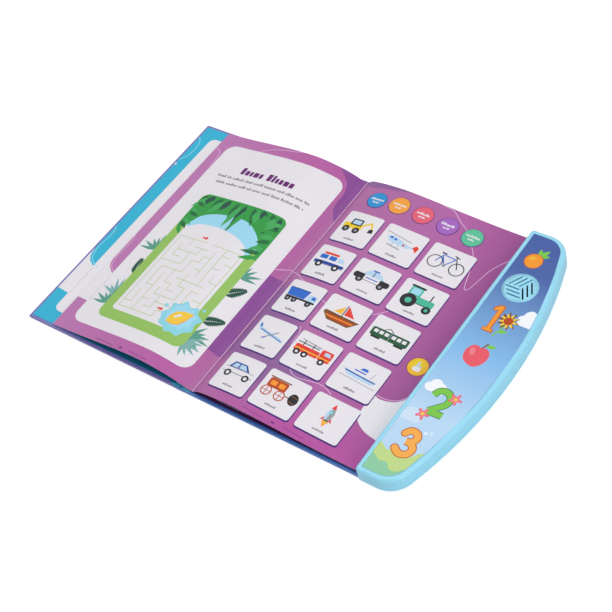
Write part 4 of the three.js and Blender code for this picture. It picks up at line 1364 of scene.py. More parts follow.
def spring_recipe(material: Material) -> NodeRecipe:
    """The tree that sweeps a wire along a conical coil, standing on its base.

    Args:
        material: the spring's material.

    Returns:
        The recipe.
    """
    recipe = NodeRecipe(
        "Contact spring",
        {
            "Turns": ("NodeSocketFloat", 3.0), "Foot": ("NodeSocketFloat", 0.0033),
            "Tip": ("NodeSocketFloat", 0.0018), "Height": ("NodeSocketFloat", 0.0026),
            "Wire": ("NodeSocketFloat", 0.00032), "Place": ("NodeSocketVector", (0, 0, 0)),
            "Turn": ("NodeSocketRotation", (0, 0, 0))
        }
    )
    start = recipe.start
    coil = recipe.add(
        "GeometryNodeCurveSpiral",
        {
            "Resolution": 20, "Rotations": start["Turns"], "Start Radius": start["Foot"],
            "End Radius": start["Tip"], "Height": start["Height"]
        }
    )
    ring = recipe.add("GeometryNodeCurvePrimitiveCircle", {"Resolution": 8, "Radius": start["Wire"]})
    wire = recipe.add(
        "GeometryNodeCurveToMesh",
        {"Curve": coil.outputs[0], "Profile Curve": ring.outputs[0], "Fill Caps": True}
    )
    seated = recipe.add(
        "GeometryNodeTransform",
        {"Geometry": wire.outputs[0], "Translation": start["Place"], "Rotation": start["Turn"]}
    )
    recipe.end(seated.outputs[0], material)
    return recipe


def finish_mesh(made: Object, angle: float = 35.0) -> Object:
    """Smooths a mesh's faces, apart from edges sharper than an angle in degrees.

    Args:
        made: the object.
        angle: the angle past which an edge stays sharp.

    Returns:
        The object.
    """
    made.data.shade_smooth()
    made.data.set_sharp_from_angle(angle=math.radians(angle))
    return made


def smooth_copy(node: str, name: str, material: Material) -> Object:
    """A copy of a CAD node with its loose triangles joined and its curved faces smooth.

    Args:
        node: the CAD node.
        name: the new piece's name.
        material: its material.

    Returns:
        The copy, which stands for the node.
    """
    mesh = frame["nodes"][node].data.copy()
    mesh.name = name
    shell = bmesh.new()
    shell.from_mesh(mesh)
    bmesh.ops.remove_doubles(shell, verts=shell.verts, dist=1e-6)
    bmesh.ops.dissolve_degenerate(shell, edges=shell.edges, dist=1e-7)
    shell.to_mesh(mesh)
    shell.free()
    mesh.materials.clear()
    mesh.materials.append(material)
    made = finish_mesh(add_object(name, mesh))
    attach(made, frame["nodes"][node]["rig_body"])
    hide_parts(node)
    return made


# The book's pieces


@dataclass
class PageBlock:
    """The right-hand pages: a printed top leaf over a stack of plain leaves."""

    leaf_thickness: float = 0.3
    stack: float = 2.4
    count: int = 5
    plain_thickness: float = 0.26
    plain_inset: float = 0.4
    slip: float = 0.35
    right: float = 178.6
    tile_size: Point = (43.8, 39.6)
    tile_tops: tuple[float, ...] = (98.8, 51.7, 4.6, -42.5, -89.6)
    tile_columns: tuple[Point, ...] = ((10.3, 49.2), (55.2, 98.6), (104.9, 148.8))

    def print(self) -> Drawing:
        """Draws the page.

        Returns:
            The drawing.
        """
        sheet = Drawing(box(0, -PAGE_HALF_HEIGHT, self.right, PAGE_HALF_HEIGHT), Ink.PAGE, 2.2, 18.0)
        sheet.draw(RIGHT_PAGE)
        self.buttons(sheet)
        names = iter(PICTURE_ORDER)
        for row, top in enumerate(self.tile_tops):
            for x0, x1 in self.tile_columns:
                bottom = top - self.tile_size[1]
                sheet.paint(Ink.SHADOW, box(x0 + 0.2, bottom - 1.7, x1 + 1.1, top - 1.4, 2.8))
                sheet.paint(Ink.WHITE, box(x0, bottom, x1, top, 2.6))
                cx = (x0 + x1) / 2
                sheet.picture(PICTURES[next(names)], cx, bottom + 22.6, 0.86 * (x1 - x0), 25.5)
                sheet.words(Ink.CAPTION, cx - 6, cx + 5.4, bottom + 5.6, 1.7, row * 7 + int(x0), 9)
        for x in (56, 98):
            sheet.paint(Ink.FOLIO, line(x, -135.6, x + 23, -136.6, 0.5))
        sheet.words(Ink.FOLIO, 87, 90.4, -136.2, 1.9, 4, 4)
        return sheet

    @staticmethod
    def buttons(sheet: Drawing) -> None:
        """Draws the round touch buttons.

        Args:
            sheet: the drawing.
        """
        row = (
            (26.4, 118.3, Ink.BUTTON_BLUE), (50.6, 120.4, Ink.BUTTON_ORANGE), (77, 120.2, Ink.BUTTON_RED),
            (104.2, 119.4, Ink.BUTTON_PURPLE), (131.6, 117.8, Ink.BUTTON_GREEN)
        )
        for number, (x, y, ink) in enumerate(row):
            radius = 9.6 if number == 0 else 10.2
            sheet.paint(Ink.SHADOW, disc(x + 0.1, y - 0.3, radius + 0.6, 40))
            sheet.paint(ink, disc(x, y, radius, 40))
            sheet.words(Ink.WHITE, x - 7, x + 7, y + 1, 2, number, 12)
            sheet.words(Ink.WHITE, x - 3.4, x + 3.6, y - 3, 1.4, number + 20, 6)
        x, y = 165.6, -28.2
        sheet.paint(Ink.DARK, disc(x, y, 9.9, 40))
        sheet.paint(Ink.GOLD, disc(x, y, 9.4, 40))
        sheet.paint(Ink.YELLOW, oval(x - 1, y + 1.4, 6.6, 6, 20))
        sheet.paint(
            Ink.PALE_BLUE, line(x - 1.6, y - 3, x - 0.6, y + 5.4, 2),
            line(x + 1, y - 3, x + 2, y + 1.6, 2)
        )
        sheet.paint(Ink.WHITE, box(x - 3.8, y - 5, x + 3.6, y - 0.4, 1.6))

    def build(self) -> None:
        """Builds the printed leaf and the leaves under it."""
        top = Profile.from_node("page_block", True)
        material = MATERIALS["page"]
        # The lower side takes a dark ink as painted shade under the arched page
        printed = printed_sheet(
            "printed_page", self.print(), top, top.lowered(self.leaf_thickness), Ink.UNDERSIDE,
            Ink.PAPER_EDGE, material
        )
        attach(printed, "base")
        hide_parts("page_block")
        bottom = Profile.from_node("page_block", False)
        xs = np.concatenate(
            [np.arange(float(top.xs[0]), 0, 1.3), np.arange(0, self.right, 2.2), [self.right]]
        )
        highs = top.height(xs) - np.where(xs < 0, 0.0, self.leaf_thickness)
        free = self.stack - self.leaf_thickness
        room = np.clip((highs - bottom.height(xs)) / free, 0.05, 1.0)
        pitch = (free - self.plain_thickness) / (self.count - 1)
        mesh = plain_sheet(
            "leaf", xs, highs, highs - self.plain_thickness, PAGE_HALF_HEIGHT - self.plain_inset
        )
        attribute = mesh.attributes.new("room", "FLOAT", "POINT")
        attribute.data.foreach_set("value", np.repeat(room, 4).astype(np.float32))
        recipe = leaf_stack_recipe(MATERIALS["leaves"])
        stack = recipe.run(
            "page_leaves", mesh,
            {"Count": self.count, "Pitch": pitch * MM, "Slip": self.slip * MM, "Seed": 3}
        )
        finish_mesh(stack)
        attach(stack, "base")
        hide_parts("page_block")


@dataclass
class TurnedLeaf:
    """The left-hand leaf, which follows the covers over both hinges."""

    thickness: float = 0.4
    reach: float = -176.5
    split: float = -14.5
    bends: tuple[Point, ...] = (
        (-14.5, 0.0), (-25.0, 0.45), (-39.0, 0.655), (-92.0, 0.815), (-176.5, 1.026)
    )
    maze_box: tuple[float, float, float, float] = (-127, -95, -49, 1)
    maze_cells: tuple[int, int] = (9, 12)
    maze_wall: float = 0.7
    gutter: tuple[Point, ...] = ((-5.4, 4.9), (-2.6, 4.75), (0.0, 4.7))
    tear: TearLine = TearLine(-162.2, -100.6)

    def print(self) -> Drawing:
        """Draws the page.

        Returns:
            The drawing.
        """
        sheet = Drawing(box(self.reach, -PAGE_HALF_HEIGHT, 0, PAGE_HALF_HEIGHT), Ink.PAGE, 2.2, 18.0)
        sheet.draw(LEFT_PAGE)
        sheet.words(Ink.TITLE, -124, -50, 96, 6.4, 12, 5)
        sheet.words(Ink.CAPTION, -147, -28, 85, 2.3, 21, 5)
        sheet.words(Ink.CAPTION, -143, -31, 76.6, 2.3, 22, 5)
        self.garden(sheet)
        for x in (-119, -76.6):
            sheet.paint(Ink.FOLIO, line(x, -136.6, x + 23, -137.6, 0.5))
        sheet.words(Ink.FOLIO, -87.6, -84.2, -137.2, 1.9, 3, 4)
        return sheet

    def garden(self, sheet: Drawing) -> None:
        """Draws the framed maze with its plants.

        Args:
            sheet: the drawing.
        """
        draw = random.Random(11)
        self.sprays(sheet, draw)
        sheet.draw(GARDEN)
        self.maze(sheet)
        sheet.draw(CANOPY)
        top = [(-137 + 5.2 * k, 57.4 - 3 * (k % 2)) for k in range(19)]
        for number, (x, y) in enumerate(top):
            length = draw.uniform(17, 30) * (1.25 if 7 < number < 12 else 0.85)
            ink = (Ink.LEAF_DARK, Ink.JUNGLE, Ink.LEAF_DEEP, Ink.LEAF)[number % 4]
            sheet.paint(
                ink,
                blade(x, y, length, -90 + 0.5 * (x + 88) + draw.uniform(-24, 24), draw.uniform(5.6, 9))
            )
        for number in range(9):
            ink = (Ink.JUNGLE, Ink.LEAF_DARK, Ink.LEAF)[number % 3]
            sheet.paint(
                ink, blade(-36, 50 - 5.4 * number, draw.uniform(13, 21), 214 + draw.uniform(-20, 20), 5.6)
            )
            sheet.paint(
                ink, blade(-141, 50 - 4.6 * number, draw.uniform(10, 15), -34 + draw.uniform(-20, 20), 5)
            )
        splash = (
            (-74, -92), (-72, -98), (-65, -100), (-60, -104), (-54, -102), (-47, -103), (-43, -97),
            (-37, -92), (-39, -85), (-36, -78), (-43, -74), (-47, -68), (-54, -71), (-61, -66),
            (-66, -72), (-73, -73), (-72, -80), (-77, -86)
        )
        sheet.paint(Ink.POND, smooth(splash), disc(-78, -78, 2.2, 16), disc(-41, -67.6, 1.7, 16))
        sheet.paint(Ink.SKY, smooth([(-57 + 0.76 * (x + 57), -84 + 0.72 * (y + 86)) for x, y in splash]))
        lemon = [blade(-67 + d, -93 - d, 27, 40, 15 + 2 * d) for d in (0.5, 0)]
        sheet.paint(Ink.ORANGE, lemon[0])
        sheet.paint(Ink.SUN, lemon[1])
        sheet.paint(Ink.WHITE, oval(-59, -84, 4, 1.4, 42))
        for x, y in ((-99, 6), (-82, -84)):
            sheet.paint(Ink.RED, [(x + a, y + b) for a, b in ARROW])

    @staticmethod
    def sprays(sheet: Drawing, draw: random.Random) -> None:
        """Draws the plants that look out from behind the frame.

        Args:
            sheet: the drawing.
            draw: gives the uneven lengths.
        """
        for x, y, turn, ink in (
            (-37, -20, 62, Ink.SPRAY), (-37, -96, 6, Ink.SPRAY), (-37, -104, -16, Ink.TEAL_LEAF),
            (-141, -24, 128, Ink.SPRAY), (-141, -86, 112, Ink.TEAL_LEAF), (-141, -98, 128, Ink.SPRAY)
        ):
            for k in range(6):
                length = draw.uniform(15, 22)
                sheet.paint(ink, blade(x, y, length, turn - 55 + 22 * k + draw.uniform(-5, 5), 3.6))
        for x, y, turn in ((-38, -44, 44), (-38, -78, 28), (-140, -60, 106)):
            c, s = math.cos(math.radians(turn)), math.sin(math.radians(turn))
            for k in range(11):
                reach, length = 2 + 1.9 * k, 9.5 - 0.2 * k - 0.05 * k * k
                for way in (-1, 1):
                    sheet.paint(
                        Ink.LEAF_DEEP, blade(x + reach * c, y + reach * s, length, turn + 38 * way, 2)
                    )

    def maze(self, sheet: Drawing) -> None:
        """Draws the walls of a maze with one way through.

        Args:
            sheet: the drawing.
        """
        columns, rows = self.maze_cells
        x0, y0, x1, y1 = self.maze_box
        half = self.maze_wall / 2
        wide, high = (x1 - x0) / columns, (y1 - y0) / rows
        draw = random.Random(29)
        doors = {((4, rows - 1), (4, rows)), ((5, -1), (5, 0))}
        seen, trail = {(0, 0)}, [(0, 0)]
        while trail:
            cell = trail[-1]
            ways = [(cell[0] + a, cell[1] + b) for a, b in ((1, 0), (-1, 0), (0, 1), (0, -1))]
            free = [w for w in ways if 0 <= w[0] < columns and 0 <= w[1] < rows and w not in seen]
            if not free:
                trail.pop()
                continue
            after = draw.choice(free)
            doors.add((min(cell, after), max(cell, after)))
            seen.add(after)
            trail.append(after)
        for i in range(columns + 1):
            for j in range(rows + 1):
                x, y = x0 + i * wide, y0 + j * high
                if j < rows and ((i - 1, j), (i, j)) not in doors:
                    sheet.paint(Ink.MAZE, box(x - half, y - half, x + half, y + high + half))
                if i < columns and ((i, j - 1), (i, j)) not in doors:
                    sheet.paint(Ink.MAZE, box(x - half, y - half, x + wide + half, y + half))

    def build(self) -> None:
        """Builds the leaf, in pieces split at its bend places, and its tear line."""
        node = Profile.from_node("turned_leaf", True)
        xs, zs = zip(*self.gutter)
        top = Profile(np.append(node.xs, xs), np.append(node.zs, zs))
        low = top.lowered(self.thickness)
        whole = self.print()
        gutter = self.strip("leaf_gutter", whole, top, low, self.split, 0.0)
        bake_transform(gutter)
        for number, ((x0, share0), (x1, share1)) in enumerate(zip(self.bends, self.bends[1:]), 1):
            made = self.strip(f"leaf_page_{number}", whole, top, low, x1, x0)
            self.hold(made, x0, share0, x1, share1)
            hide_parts("turned_leaf")
        dots = self.tear.build("leaf_tear_line", float(top.height(self.tear.x)) + 0.01)
        self.hold(dots, x0, share0, x1, share1)

    @staticmethod
    def strip(name: str, whole: Drawing, top: Profile, low: Profile, x0: float, x1: float) -> Object:
        """Builds the part of the leaf between two places.

        Args:
            name: the piece's name.
            whole: the whole leaf's print.
            top, low: the leaf's sides.
            x0, x1: the two places.

        Returns:
            The piece.
        """
        part = Drawing(
            box(x0, -PAGE_HALF_HEIGHT, x1, PAGE_HALF_HEIGHT), Ink.PAGE, 1.2 if x1 - x0 < 20 else 2.2, 18.0
        )
        part.shapes = whole.shapes
        made = printed_sheet(name, part, top, low, Ink.PAGE, Ink.PAPER_EDGE, MATERIALS["page"])
        return made

    @staticmethod
    def hold(made: Object, x0: float, share0: float, x1: float, share1: float) -> None:
        """Bakes a piece's place into its mesh.

        Args:
            made: the piece.
            x0, x1: two places on the leaf, in millimetres; not used.
            share0, share1: the front cover's unsmoothed share at each; not used.
        """
        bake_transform(made)


@dataclass
class Endpaper:
    """The teal paper inside the front cover."""

    left: float = -204.5
    right: float = -20.8
    half: float = 139.5
    tear: TearLine = TearLine(-188.8, -101.0)

    def print(self) -> Drawing:
        """Draws the endpaper.

        Returns:
            The drawing.
        """
        sheet = Drawing(box(self.left, -self.half, self.right, self.half), Ink.TEAL, 30.0, 40.0)
        # Painted shade: the endpaper under the turned leaf is drawn in darker teal
        sheet.paint(Ink.TEAL_SHADE, box(-176, -self.half - 1, self.right + 1, self.half + 1))
        sheet.draw(ENDPAPER)
        return sheet

    def build(self) -> None:
        """Builds the endpaper and its tear line."""
        low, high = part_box("front_endpaper")
        sheet = printed_sheet(
            "teal_endpaper", self.print(), flat_profile(high.z / MM), flat_profile(low.z / MM), Ink.WHITE,
            Ink.TEAL, MATERIALS["endpaper"]
        )
        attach(sheet, "front_cover")
        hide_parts("front_endpaper")
        dots = self.tear.build("endpaper_tear_line", high.z / MM + 0.02)
        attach(dots, "front_cover")


@dataclass
class Covers:
    """Three wrapped boards and the paper that joins them over the hinges."""

    wrap_radius: float = 0.6
    wrap_segments: int = 3
    wrap_angle: float = 60.0
    strip_half_width: float = 5.0
    strip_end_gap: float = 0.7
    strip_rows: int = 25
    bend_half_width: float = 1.5
    outside_thickness: float = 0.12
    inside_sink: float = 0.1
    inside_rise: float = 0.05

    def board(self, node: str, name: str, slot: str) -> None:
        """Builds one board with its paper folded round the edges.

        Args:
            node: the CAD node that it stands for.
            name: the piece's name.
            slot: the record's material slot; not used.
        """
        made = smooth_copy(node, name, MATERIALS["covers"])
        bevel = made.modifiers.new("folded edge", "BEVEL")
        bevel.width = self.wrap_radius * MM
        bevel.segments = self.wrap_segments
        bevel.angle_limit = math.radians(self.wrap_angle)

    def strip(
        self, name: str, hinge: float, low: float, high: float, bodies: tuple[str, str], finish: str,
        slot: str
    ) -> None:
        """Builds one strip of paper over a hinge.

        Args:
            name: the piece's name.
            hinge: the hinge's x.
            low, high: the strip's lower and upper side.
            bodies: the bodies to its right and left; not used.
            finish: its finish.
            slot: the record's material slot; not used.
        """
        xs = hinge + np.linspace(-self.strip_half_width, self.strip_half_width, self.strip_rows)
        level = np.ones(self.strip_rows)
        mesh = plain_sheet(name, xs, high * level, low * level, COVER_HALF_HEIGHT - self.strip_end_gap)
        mesh.materials.append(MATERIALS[finish])
        made = finish_mesh(add_object(name, mesh))
        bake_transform(made)

    def build(self) -> None:
        """Builds the boards and the strips."""
        for node, name, slot in (("back_cover_board", "back_cover", "back_cover_paper"),
                                 ("spine_board", "spine", "back_cover_paper"),
                                 ("front_cover_board", "front_cover", "front_cover_paper")):
            self.board(node, name, slot)
        top = BOARD_THICKNESS
        for side, hinge, bodies, slot in (
            ("back", BACK_HINGE_X, ("base", "spine"), "back_cover_paper"),
            ("front", FRONT_HINGE_X, ("spine", "front_cover"), "front_cover_paper")
        ):
            self.strip(
                side + "_hinge_outside", hinge, 0.0, self.outside_thickness, bodies, "covers", slot
            )
            low, high = top - self.inside_sink, top + self.inside_rise
            self.strip(side + "_hinge_inside", hinge, low, high, bodies, "lining", slot)


@dataclass
class Housing:
    """The sound housing with its overlay film, screws and springs."""

    left: float = 179.6
    half_length: float = 144.0
    bulge: float = 62.4
    radius: float = 420.0
    end_corner: float = 24.0
    inner_corner: float = 3.5
    height: float = 16.0
    edge: float = 3.0
    wall_tolerance: float = 0.16
    rim_tolerance: float = 0.3
    film_inset: float = 4.9
    film_low: float = 15.42
    film_top: float = 15.92
    screw_head: tuple[Point, ...] = ((2.1, 0), (2.4, 0.35), (2.4, 0.9), (1.25, 1.9))
    thread_pitch: float = 0.6
    cross: Point = (0.3, 1.3)
    cross_depth: float = 0.9
    wire_radius: float = 0.32
    grille: Point = (205.0, 78.6)
    grille_radius: float = 16.3

    def wall(self, x: float, y: float) -> tuple[float, Vector]:
        """Finds the housing's outer wall from a place inside it.

        Args:
            x, y: the place, in millimetres.

        Returns:
            How far inside the wall the place lies, and the level way out.
        """
        bow_x = self.left + self.bulge - self.radius
        corner_y = self.half_length - self.end_corner
        corner_x = bow_x + math.sqrt((self.radius - self.end_corner) ** 2 - corner_y**2)
        up = 1 if y >= 0 else -1
        dx, dy = x - corner_x, abs(y) - corner_y
        if math.atan2(corner_y, corner_x - bow_x) < math.atan2(dy, dx) < math.pi / 2:
            return self.end_corner - math.hypot(dx, dy), Vector((dx, dy * up, 0)).normalized()
        small = self.inner_corner
        dx, dy = x - self.left - small, abs(y) - self.half_length + small
        if dx < 0 < dy:
            return small - math.hypot(dx, dy), Vector((dx, dy * up, 0)).normalized()
        bow = math.hypot(x - bow_x, y)
        ways = ((x - self.left, Vector((-1, 0, 0))), (self.half_length - abs(y), Vector((0, up, 0))),
                (self.radius - bow, Vector(((x - bow_x) / bow, y / bow, 0))))
        return min(ways, key=lambda way: way[0])

    def round_off(self, made: Object) -> None:
        """Gives the outer wall and its rounded top edge the normals of the true curves.

        Args:
            made: a housing shell, whose walls are made of chords.
        """
        mesh = made.data
        normals = [Vector(corner.vector) for corner in mesh.corner_normals]
        for face in mesh.polygons:
            true = []
            for index in face.vertices:
                x, y, z = (value / MM for value in mesh.vertices[index].co)
                inset, out = self.wall(x, y)
                rise = clamp((z - self.height + self.edge) / self.edge)
                level = math.sqrt(1 - rise * rise)
                if abs(inset - self.edge * (1 - level)) < self.wall_tolerance:
                    true.append(out * level + Vector((0, 0, rise)))
                elif abs(inset - self.film_inset) < self.rim_tolerance and abs(face.normal.z) < 0.3:
                    true.append(-out)
            if len(true) == len(face.vertices) and all(normal.dot(face.normal) > 0.8 for normal in true):
                for corner, normal in zip(face.loop_indices, true):
                    normals[corner] = normal
        mesh.normals_split_custom_set(normals)

    def outline(self, inset: float, arc: int = 64) -> list[Point]:
        """The housing's outline, bowed on the right, at a distance inside its outer wall.

        Args:
            inset: the distance.
            arc: points along the long bow.

        Returns:
            The outline, anticlockwise.
        """
        bow_x = self.left + self.bulge - self.radius
        bow = self.radius - inset
        corner = self.end_corner - inset
        end = self.half_length - inset
        corner_y = end - corner
        corner_x = bow_x + math.sqrt((bow - corner) ** 2 - corner_y**2)
        turn = math.atan2(corner_y, corner_x - bow_x)
        inner = max(self.inner_corner - inset, 0.3)
        left = self.left + inset
        points: list[Point] = []

        def sweep(cx: float, cy: float, r: float, start: float, stop: float, steps: int) -> None:
            """Adds the points of an arc.

            Args:
                cx, cy: its middle.
                r: its radius.
                start, stop: its first and last angle.
                steps: its number of spans.
            """
            for i in range(steps + 1):
                t = start + (stop - start) * i / steps
                points.append((cx + r * math.cos(t), cy + r * math.sin(t)))

        sweep(left + inner, -end + inner, inner, -math.pi, -math.pi / 2, 6)
        sweep(corner_x, -corner_y, corner, -math.pi / 2, -turn, 20)
        sweep(bow_x, 0, bow, -turn, turn, arc)
        sweep(corner_x, corner_y, corner, turn, math.pi / 2, 20)
        sweep(left + inner, end - inner, inner, math.pi / 2, math.pi, 6)
        return [p for i, p in enumerate(points) if math.dist(p, points[i - 1]) > 0.02]

    def print(self) -> Drawing:
        """Draws the overlay film.

        Returns:
            The drawing.
        """
        sheet = Drawing(self.outline(self.film_inset), Ink.FILM_SKY, 20.0, 7.0)
        sheet.holes.append(disc(*self.grille, self.grille_radius + 0.05, 64))
        sheet.paint(Ink.CLOUD, *puff(231, 50, 20, 20))
        sheet.paint(Ink.CLOUD_PALE, *puff(193, -78, 18, 15))
        sheet.paint(Ink.CLOUD, *puff(196.6, -44.6, 19, 15))
        sheet.draw(HILLS_AND_ORANGE)
        # A one, and the sunflower's stalk
        sheet.picture(NUMERAL_ONE_RIM, 201.6, 39.8, 12.4, 31.6)
        sheet.picture(NUMERAL_ONE, 201.6, 39.8, 10.6, 29.8)
        sheet.paint(
            Ink.APPLE_LEAF, *ribbon([(214, 38), (213, 30), (209.6, 22)], 1.4), blade(212, 28, 9, 20, 4)
        )
        sheet.draw(SUNFLOWER_AND_APPLE)
        # A two, and two flowers
        two = smooth(
            [
                (198.6, -52.6), (201.6, -47), (208, -45.4), (213.6, -49.6), (213.4, -56.6),
                (208.4, -62.4), (202.6, -68.4)
            ],
            False, 6
        )
        foot = [(202.4, -68.6), (208.6, -68.4), (216.4, -68.2)]
        sheet.paint(Ink.BOTTLE, *ribbon(two, 7), *ribbon(foot, 7))
        sheet.paint(Ink.APPLE_LEAF, *ribbon(two, 5.8), *ribbon(foot, 5.8))
        for x, y in ((217.6, -48.6), (200.6, -73)):
            sheet.paint(Ink.CORAL, petals(x, y, 6.3))
            sheet.paint(Ink.PETAL, petals(x, y, 5.1))
            sheet.paint(Ink.SUN, disc(x, y, 1.6))
        # A three
        upper = smooth(
            [(198.4, -95.6), (201.6, -91.6), (207, -91.6), (210.4, -96), (207.6, -101), (203, -102.2)],
            False, 6
        )
        lower = smooth(
            [
                (203, -102.2), (208.6, -102.6), (212.4, -107.4), (210, -113), (203.8, -114.8),
                (198, -111.4)
            ],
            False, 6
        )
        for ink, width in ((Ink.RUST, 7.4), (Ink.AMBER, 5.8)):
            round_end = width / 2
            sheet.paint(
                ink, *ribbon(upper, width), *ribbon(lower, width), disc(*upper[0], round_end),
                disc(*lower[-1], round_end)
            )
        sheet.paint(
            Ink.CLOUD, *ribbon([(216, -86.6), (218.6, -85), (218.4, -88.6)], 0.7),
            petals(213.6, -88.4, 1.8, 4)
        )
        return sheet

    def screw(self, length: float) -> Object:
        """One screw, its head down, as a model to copy.

        Args:
            length: from the head's face to the tip.

        Returns:
            The screw, which the caller removes.
        """
        outline = [*self.screw_head]
        z = 2.1
        while z < length - 1.2:
            outline += [(1.0, z), (1.3, z + self.thread_pitch / 2)]
            z += self.thread_pitch
        outline.append((0.9, length - 1.1))
        sides, corners = 20, 12
        vertices = [(x, y, z) for r, z in outline for x, y in disc(0, 0, r, sides)]
        vertices.append((0, 0, length))
        tip = len(vertices) - 1
        faces = []
        for start in range(0, tip, sides):
            for k in range(sides):
                a, b = start + k, start + (k + 1) % sides
                faces.append((a, b, tip) if start + sides == tip else (a, b, b + sides, a + sides))
        base = len(vertices)
        narrow, wide = self.cross
        arm = ((wide, narrow), (narrow, narrow), (narrow, wide))
        cross = [
            (x * c - y * s, x * s + y * c) for c, s in ((1, 0), (0, 1), (-1, 0), (0, -1)) for x, y in arm
        ]
        vertices += [(x, y, z) for z in (0.0, self.cross_depth) for x, y in cross]
        plan = [Vector(v[:2]) for v in (*vertices[:sides], *cross)]
        rings = [list(range(sides)), list(range(sides, sides + corners))]
        cut = delaunay_2d_cdt(plan, [], rings, 1, 1e-6)
        origin = [sources[0] if sources[0] < sides else base + sources[0] - sides for sources in cut[3]]
        faces += [tuple(origin[i] for i in triangle) for triangle, s in zip(cut[2], cut[5]) if 1 not in s]
        for k in range(corners):
            a, b = base + k, base + (k + 1) % corners
            faces.append((a, b, b + corners, a + corners))
        faces.append(tuple(base + corners + k for k in range(corners)))
        mesh = closed_mesh("screw", vertices, faces)
        return add_object("screw_model", mesh)

    def fasteners(self) -> None:
        """Builds the screws, each where its CAD node is."""
        sets = {
            "housing_screws": [f"housing_screw_{i}" for i in range(1, 7)],
            "cover_screws": [f"cover_screw_{i}" for i in range(1, 5)],
            "door_screw": ["battery_door_screw"]
        }
        recipe = screw_recipe(MATERIALS["steel"])
        for name, nodes in sets.items():
            places = []
            for node in nodes:
                low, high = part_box(node)
                places.append(((low.x + high.x) / 2 / MM, (low.y + high.y) / 2 / MM, low.z / MM))
            model = self.screw((high.z - low.z) / MM)
            made = recipe.run(name, points_mesh(name, places), {"Screw": model})
            bpy.data.objects.remove(model)
            finish_mesh(made, 40)
            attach(made, "base")
            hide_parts(*nodes)

    def springs(self) -> None:
        """Builds the battery springs, each where its CAD node is."""
        recipe = spring_recipe(MATERIALS["steel"])
        for number in (1, 2, 3):
            low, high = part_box(f"contact_spring_{number}")
            y, way = (high.y, -1) if number == 2 else (low.y, 1)
            wire = self.wire_radius * MM
            place = ((low.x + high.x) / 2, y + way * wire, (low.z + high.z) / 2)
            values = {
                "Turns": 3.0, "Foot": (high.x - low.x) / 2 - wire, "Height": high.y - low.y - 2 * wire,
                "Wire": wire, "Place": place, "Turn": (-way * math.pi / 2, 0, 0)
            }
            made = recipe.run(f"spring_{number}", points_mesh("spot", [(0, 0, 0)]), values)
            finish_mesh(made, 60)
            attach(made, "base")
            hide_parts(f"contact_spring_{number}")

    def build(self) -> None:
        """Builds the housing's own pieces."""
        for node, name in (
            ("housing_upper", "upper_shell"), ("housing_base", "base_shell"),
            ("battery_door", "battery_cover")
        ):
            made = smooth_copy(node, name, MATERIALS["housing"])
            self.round_off(made)
        film = printed_sheet(
            "overlay_print", self.print(), flat_profile(self.film_top), flat_profile(self.film_low),
            Ink.WHITE, Ink.PALE_BLUE, MATERIALS["film"]
        )
        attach(film, "base")
        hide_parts("printed_overlay")
        self.fasteners()
        self.springs()


NODE_FINISHES = {
    "touch_sensor_sheet": "sensor", "speaker_frame": "dark_plastic", "speaker_cone": "cone",
    "speaker_gasket": "foam", "speaker_magnet": "steel", "battery_cell_1": "cell",
    "battery_cell_2": "cell", "battery_cell_3": "cell", "contact_plate_negative": "steel",
    "contact_plate_link_1": "steel", "contact_plate_link_2": "steel", "contact_plate_positive": "steel",
    "circuit_board": "laminate", "voice_chip": "dark_plastic", "capacitor": "dark_plastic",
    "resonator": "steel", "sheet_connector": "dark_plastic", "battery_lead_black": "black_wire",
    "battery_lead_red": "red_wire", "speaker_lead_1": "black_wire", "speaker_lead_2": "red_wire",
}


def dress_nodes() -> None:
    """Gives every CAD node its finish, also those that another piece stands for."""
    stand_in = {
        "page_block": "leaves", "turned_leaf": "page", "front_endpaper": "endpaper",
        "printed_overlay": "film"
    }
    for node, made in frame["nodes"].items():
        key = NODE_FINISHES.get(node) or stand_in.get(node)
        if key is None:
            key = "covers" if node.endswith(
                "board"
            ) else "steel" if "screw" in node or "spring" in node else "housing"
        made.data.materials.clear()
        made.data.materials.append(MATERIALS[key])


